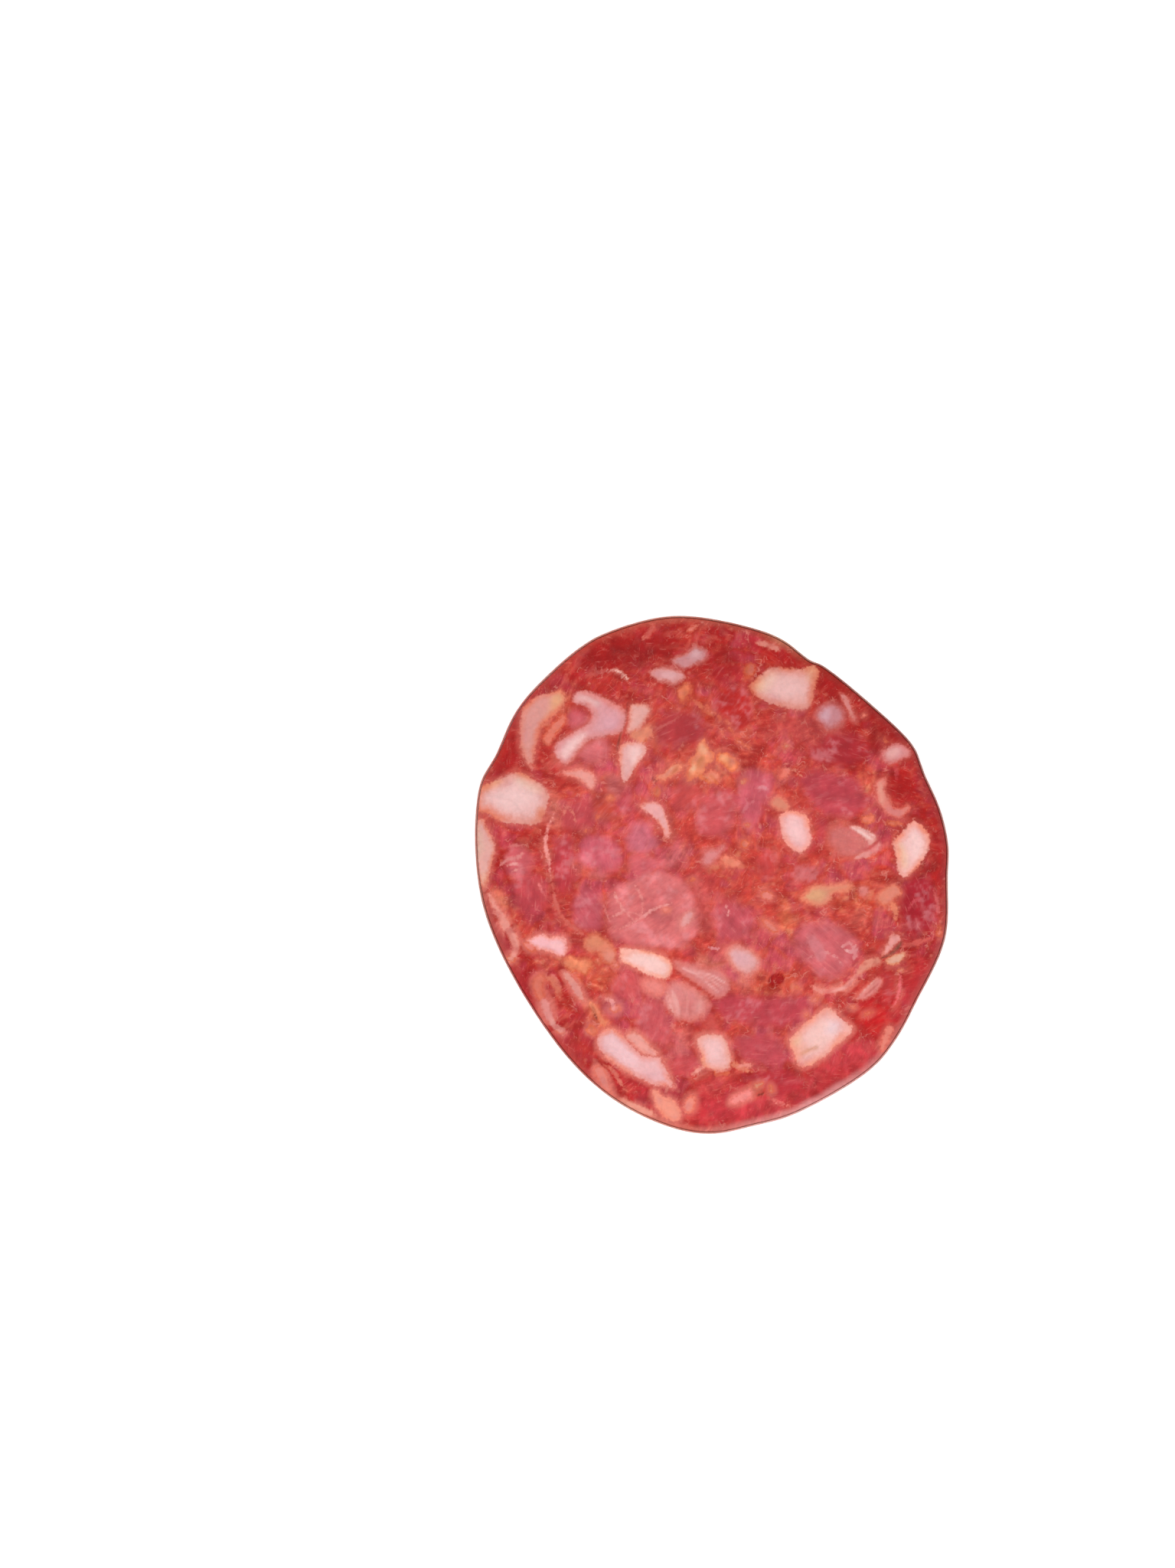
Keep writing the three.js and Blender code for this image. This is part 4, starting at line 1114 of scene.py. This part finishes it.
# Threads of sinew and smeared fat, about 0.1 mm across, that curl and break off
curl = add_node(tree, "TexNoise", {
    "Vector": place, "Scale": 1 / (1.4 * MM), "Detail": 2, "Distortion": 0.6,
}).outputs["Fac"]
curl = add_node(tree, "Math", {0: curl, 1: 0.5}, operation="SUBTRACT").outputs[0]
curl = add_node(tree, "Math", {0: curl}, operation="ABSOLUTE").outputs[0]
broken = add_node(tree, "TexNoise", {"Vector": place, "Scale": 1 / (1.3 * MM)}).outputs["Fac"]
broken = add_node(tree, "MapRange", {
    "Value": broken, "From Min": 0.52, "From Max": 0.60,
}).outputs["Result"]
tone = strewn(tree, tone, "#E68E80", curl, 0.026, 0.004, 0.42, [broken, paste_share])

# Crumbs of fat about 0.4 mm across, in one cell of four
cells = add_node(tree, "TexVoronoi", {"Vector": place, "Scale": 1 / (1.3 * MM)})
from_crumb = cells.outputs["Distance"]
chosen = add_node(tree, "SeparateColor", {"Color": cells.outputs["Color"]}).outputs["Red"]
chosen = add_node(tree, "MapRange", {
    "Value": chosen, "From Min": 0.70, "From Max": 0.80,
}).outputs["Result"]
tone = strewn(tree, tone, "#E48672", from_crumb, 0.26, 0.06, 0.35, [chosen, paste_share])

# The fat's edge is frayed by crumbs and specks, so it never runs as a drawn line
frayed = depth_mm
for pattern, by_mm in ((crumb, 0.5), (speck, 0.25)):
    sway = add_node(tree, "Math", {0: pattern, 1: 0.5}, operation="SUBTRACT").outputs[0]
    frayed = add_node(tree, "Math", {
        0: sway, 1: by_mm, 2: frayed,
    }, operation="MULTIPLY_ADD").outputs[0]
outer = add_node(tree, "Math", {0: soft_mm, 1: -1.0}, operation="MULTIPLY").outputs[0]
fat_share = add_node(tree, "MapRange", {
    "Value": frayed, "From Min": outer, "From Max": soft_mm,
}, interpolation_type="SMOOTHSTEP").outputs["Result"]
fat_share = add_node(tree, "Math", {0: fat_share, 1: opacity}, operation="MULTIPLY").outputs[0]
near_edge = add_node(tree, "MapRange", {
    "Value": frayed, "From Min": 0.0, "From Max": rim_mm, "To Min": 0.95, "To Max": 0,
}, interpolation_type="SMOOTHSTEP").outputs["Result"]
rim_share = add_node(tree, "Math", {
    0: has_rim, 1: 0.5, 2: 0.5,
}, operation="MULTIPLY_ADD").outputs[0]
near_edge = add_node(tree, "Math", {0: near_edge, 1: rim_share}, operation="MULTIPLY").outputs[0]
fat_tone = add_node(tree, "Mix", {
    FACTOR: near_edge, FIRST: fat_colour, SECOND: fat_edge,
}, data_type="RGBA").outputs[MIXED]
fat_grain = add_node(tree, "MapRange", {
    "Value": crumb, "From Min": 0.3, "From Max": 0.7, "To Min": 0.95, "To Max": 1.05,
}).outputs["Result"]
fat_tone = add_node(tree, "Mix", {
    FACTOR: 1.0, FIRST: fat_tone, SECOND: fat_grain,
}, data_type="RGBA", blend_type="MULTIPLY").outputs[MIXED]

surface = add_node(tree, "Mix", {
    FACTOR: fat_share, FIRST: tone, SECOND: fat_tone,
}, data_type="RGBA").outputs[MIXED]

# Moist and slightly greasy: a soft, uneven gloss over fibres, crumbs and specks that stand up
gloss = add_node(tree, "MapRange", {
    "Value": crumb, "From Min": 0.3, "From Max": 0.7, "To Min": 0.42, "To Max": 0.58,
}).outputs["Result"]
height = fibre
for pattern in (crumb, speck):
    height = add_node(tree, "Math", {0: height, 1: pattern}, operation="ADD").outputs[0]
uneven = add_node(tree, "Bump", {
    "Strength": 0.5, "Distance": 0.06 * MM, "Height": height,
}).outputs["Normal"]
shader = add_node(tree, "BsdfPrincipled", {
    "Base Color": surface,
    "Roughness": gloss,
    "Normal": uneven,
    "IOR": 1.42,
    "Specular IOR Level": 0.26,
    "Subsurface Weight": 0.12,
    "Subsurface Radius": (1.0, 0.35, 0.25),
    "Subsurface Scale": 0.4 * MM,
})
add_node(tree, "OutputMaterial", {"Surface": shader.outputs[0]})
slice_mesh.materials.append(cured_meat)

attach(cured_round, root_body)
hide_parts("meat_slice")

# ---------------------------------------------------------------- casing
# The skin the mince was stuffed into: collagen, dried tight and stained by the paprika. A
# ring of it stays round the cut, about 0.2 mm thick, finely wrinkled up and down because the
# sausage shrank under it.
casing = frame["nodes"]["casing"]
casing_low, casing_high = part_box("casing")
RING_STEPS = 900
CASING_WALL = 0.22
casing_height = (casing_high.z - casing_low.z) / MM

bm = bmesh.new()
bmesh.ops.create_grid(
    bm, x_segments=2, y_segments=8, size=0.5,
    matrix=Matrix.Translation((1, 0, 0)) @ Matrix.Rotation(math.pi / 2, 4, "X"),
)
bmesh.ops.delete(bm, geom=list(bm.faces), context="FACES_KEEP_BOUNDARY")
bmesh.ops.spin(
    bm, geom=list(bm.verts) + list(bm.edges), cent=(0, 0, 0), axis=(0, 0, 1),
    angle=2 * math.pi, steps=RING_STEPS, use_merge=True,
)
bmesh.ops.remove_doubles(bm, verts=list(bm.verts), dist=1e-5)
bmesh.ops.recalc_face_normals(bm, faces=list(bm.faces))
ring_mesh = bpy.data.meshes.new("casing_ring")
bm.to_mesh(ring_mesh)
bm.free()

raw = np.empty(len(ring_mesh.vertices) * 3)
ring_mesh.vertices.foreach_get("co", raw)
raw = raw.reshape(-1, 3)
ring_turn = np.arctan2(raw[:, 1], raw[:, 0])
outward = np.hypot(raw[:, 0], raw[:, 1]) - 1
upward = raw[:, 2]
outer_wall = rim_radius(casing, ring_turn)
wrinkle = np.array([
    noise.fractal(Vector((math.cos(t) * 30, math.sin(t) * 30, s * 0.6)), 1.0, 2.0, 3)
    for t, s in zip(ring_turn, upward)
])
corner = 1 - 0.35 * (np.abs(upward) > 0.49)  # the two cut edges are narrower, so blunt
ring_radius = outer_wall - CASING_WALL * (0.5 - outward * corner)
ring_radius += 0.012 * wrinkle * (outward > -0.4)
ragged_edge = np.array([
    noise.noise(Vector((math.cos(t) * 45, math.sin(t) * 45, 7.0))) for t in ring_turn
])
ring_z = (casing_low.z + casing_high.z) / 2 / MM + upward * (casing_height + 0.05 * ragged_edge)
ring_mesh.vertices.foreach_set("co", (np.stack([
    ring_radius * np.cos(ring_turn), ring_radius * np.sin(ring_turn), ring_z,
], axis=1) * MM).ravel())
stained_by = np.hstack([tone_by_direction(ring_turn, EDGE_TONES), np.ones((len(raw), 1))])
store(ring_mesh, "stained_by", stained_by)
ring_mesh.shade_smooth()
ring_mesh.set_sharp_from_angle(angle=math.radians(40))
ring_mesh.update()

dried_skin, tree = new_material("dried_collagen_casing")
place = add_node(tree, "TexCoord").outputs["Object"]
# Blotches of dried paprika 3.5 mm across, and collagen threads 0.3 mm across
blotch, thread = (
    add_node(tree, "TexNoise", {
        "Vector": place, "Scale": 1 / (size * MM), "Detail": detail,
    }).outputs["Fac"]
    for size, detail in ((3.5, 4), (0.3, 2))
)
stained_by = add_node(tree, "Attribute", attribute_name="stained_by").outputs["Color"]
tint = add_node(tree, "MapRange", {
    "Value": blotch, "From Min": 0.3, "From Max": 0.7, "To Min": 0.15, "To Max": 0.45,
}).outputs["Result"]
skin = add_node(tree, "Mix", {
    FACTOR: tint, FIRST: stained_by, SECOND: full("#BCA090"),
}, data_type="RGBA").outputs[MIXED]
thread_tone = add_node(tree, "MapRange", {
    "Value": thread, "From Min": 0.3, "From Max": 0.7, "To Min": 0.85, "To Max": 1.12,
}).outputs["Result"]
skin = add_node(tree, "Mix", {
    FACTOR: 1.0, FIRST: skin, SECOND: thread_tone,
}, data_type="RGBA", blend_type="MULTIPLY").outputs[MIXED]
ridged = add_node(tree, "Bump", {
    "Strength": 0.4, "Distance": 0.05 * MM, "Height": thread,
}).outputs["Normal"]
shader = add_node(tree, "BsdfPrincipled", {
    "Base Color": skin,
    "Roughness": 0.55,
    "Normal": ridged,
    "IOR": 1.5,
    "Subsurface Weight": 0.1,
    "Subsurface Radius": (1.0, 0.5, 0.3),
    "Subsurface Scale": 0.2 * MM,
})
add_node(tree, "OutputMaterial", {"Surface": shader.outputs[0]})
ring_mesh.materials.append(dried_skin)

casing_ring = bpy.data.objects.new("casing_ring", ring_mesh)
scene.collection.objects.link(casing_ring)
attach(casing_ring, root_body)
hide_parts("casing")

# ---------------------------------------------------------------- table and light
# Plain white paper under the slice, glowing a little as on a light table, so that shadows stay
# faint. Two large soft lamps and a white sky light it.
bm = bmesh.new()
bmesh.ops.create_grid(bm, x_segments=1, y_segments=1, size=2)
table_mesh = bpy.data.meshes.new("table")
bm.to_mesh(table_mesh)
bm.free()
table_mesh.transform(Matrix.Translation((0, 0, cad_low.z - 0.02 * MM)))
table = bpy.data.objects.new("table", table_mesh)
scene.collection.objects.link(table)
paper, tree = new_material("white_paper")
shader = add_node(tree, "BsdfPrincipled", {
    "Base Color": full("#D8D8D8"),
    "Roughness": 0.9,
    "Emission Color": (1, 1, 1, 1),
    "Emission Strength": 0.55,
})
add_node(tree, "OutputMaterial", {"Surface": shader.outputs[0]})
table_mesh.materials.append(paper)

for name, place_at, power in (
    ("soft_lamp_left", (-1.0, 0.5, 1.2), 15),
    ("soft_lamp_right", (0.9, -0.4, 1.3), 13),
):
    lamp = bpy.data.objects.new(name, bpy.data.lights.new(name, "AREA"))
    lamp.data.shape = "DISK"
    lamp.data.size = 1.0
    lamp.data.energy = power
    lamp.location = place_at
    lamp.rotation_euler = (-lamp.location).to_track_quat("-Z", "Y").to_euler()
    scene.collection.objects.link(lamp)

world = bpy.data.worlds.new("white_sky")
world.use_nodes = True
world.node_tree.nodes["Background"].inputs["Color"].default_value = (1, 1, 1, 1)
world.node_tree.nodes["Background"].inputs["Strength"].default_value = 0.35
scene.world = world
scene.view_settings.view_transform = "Standard"
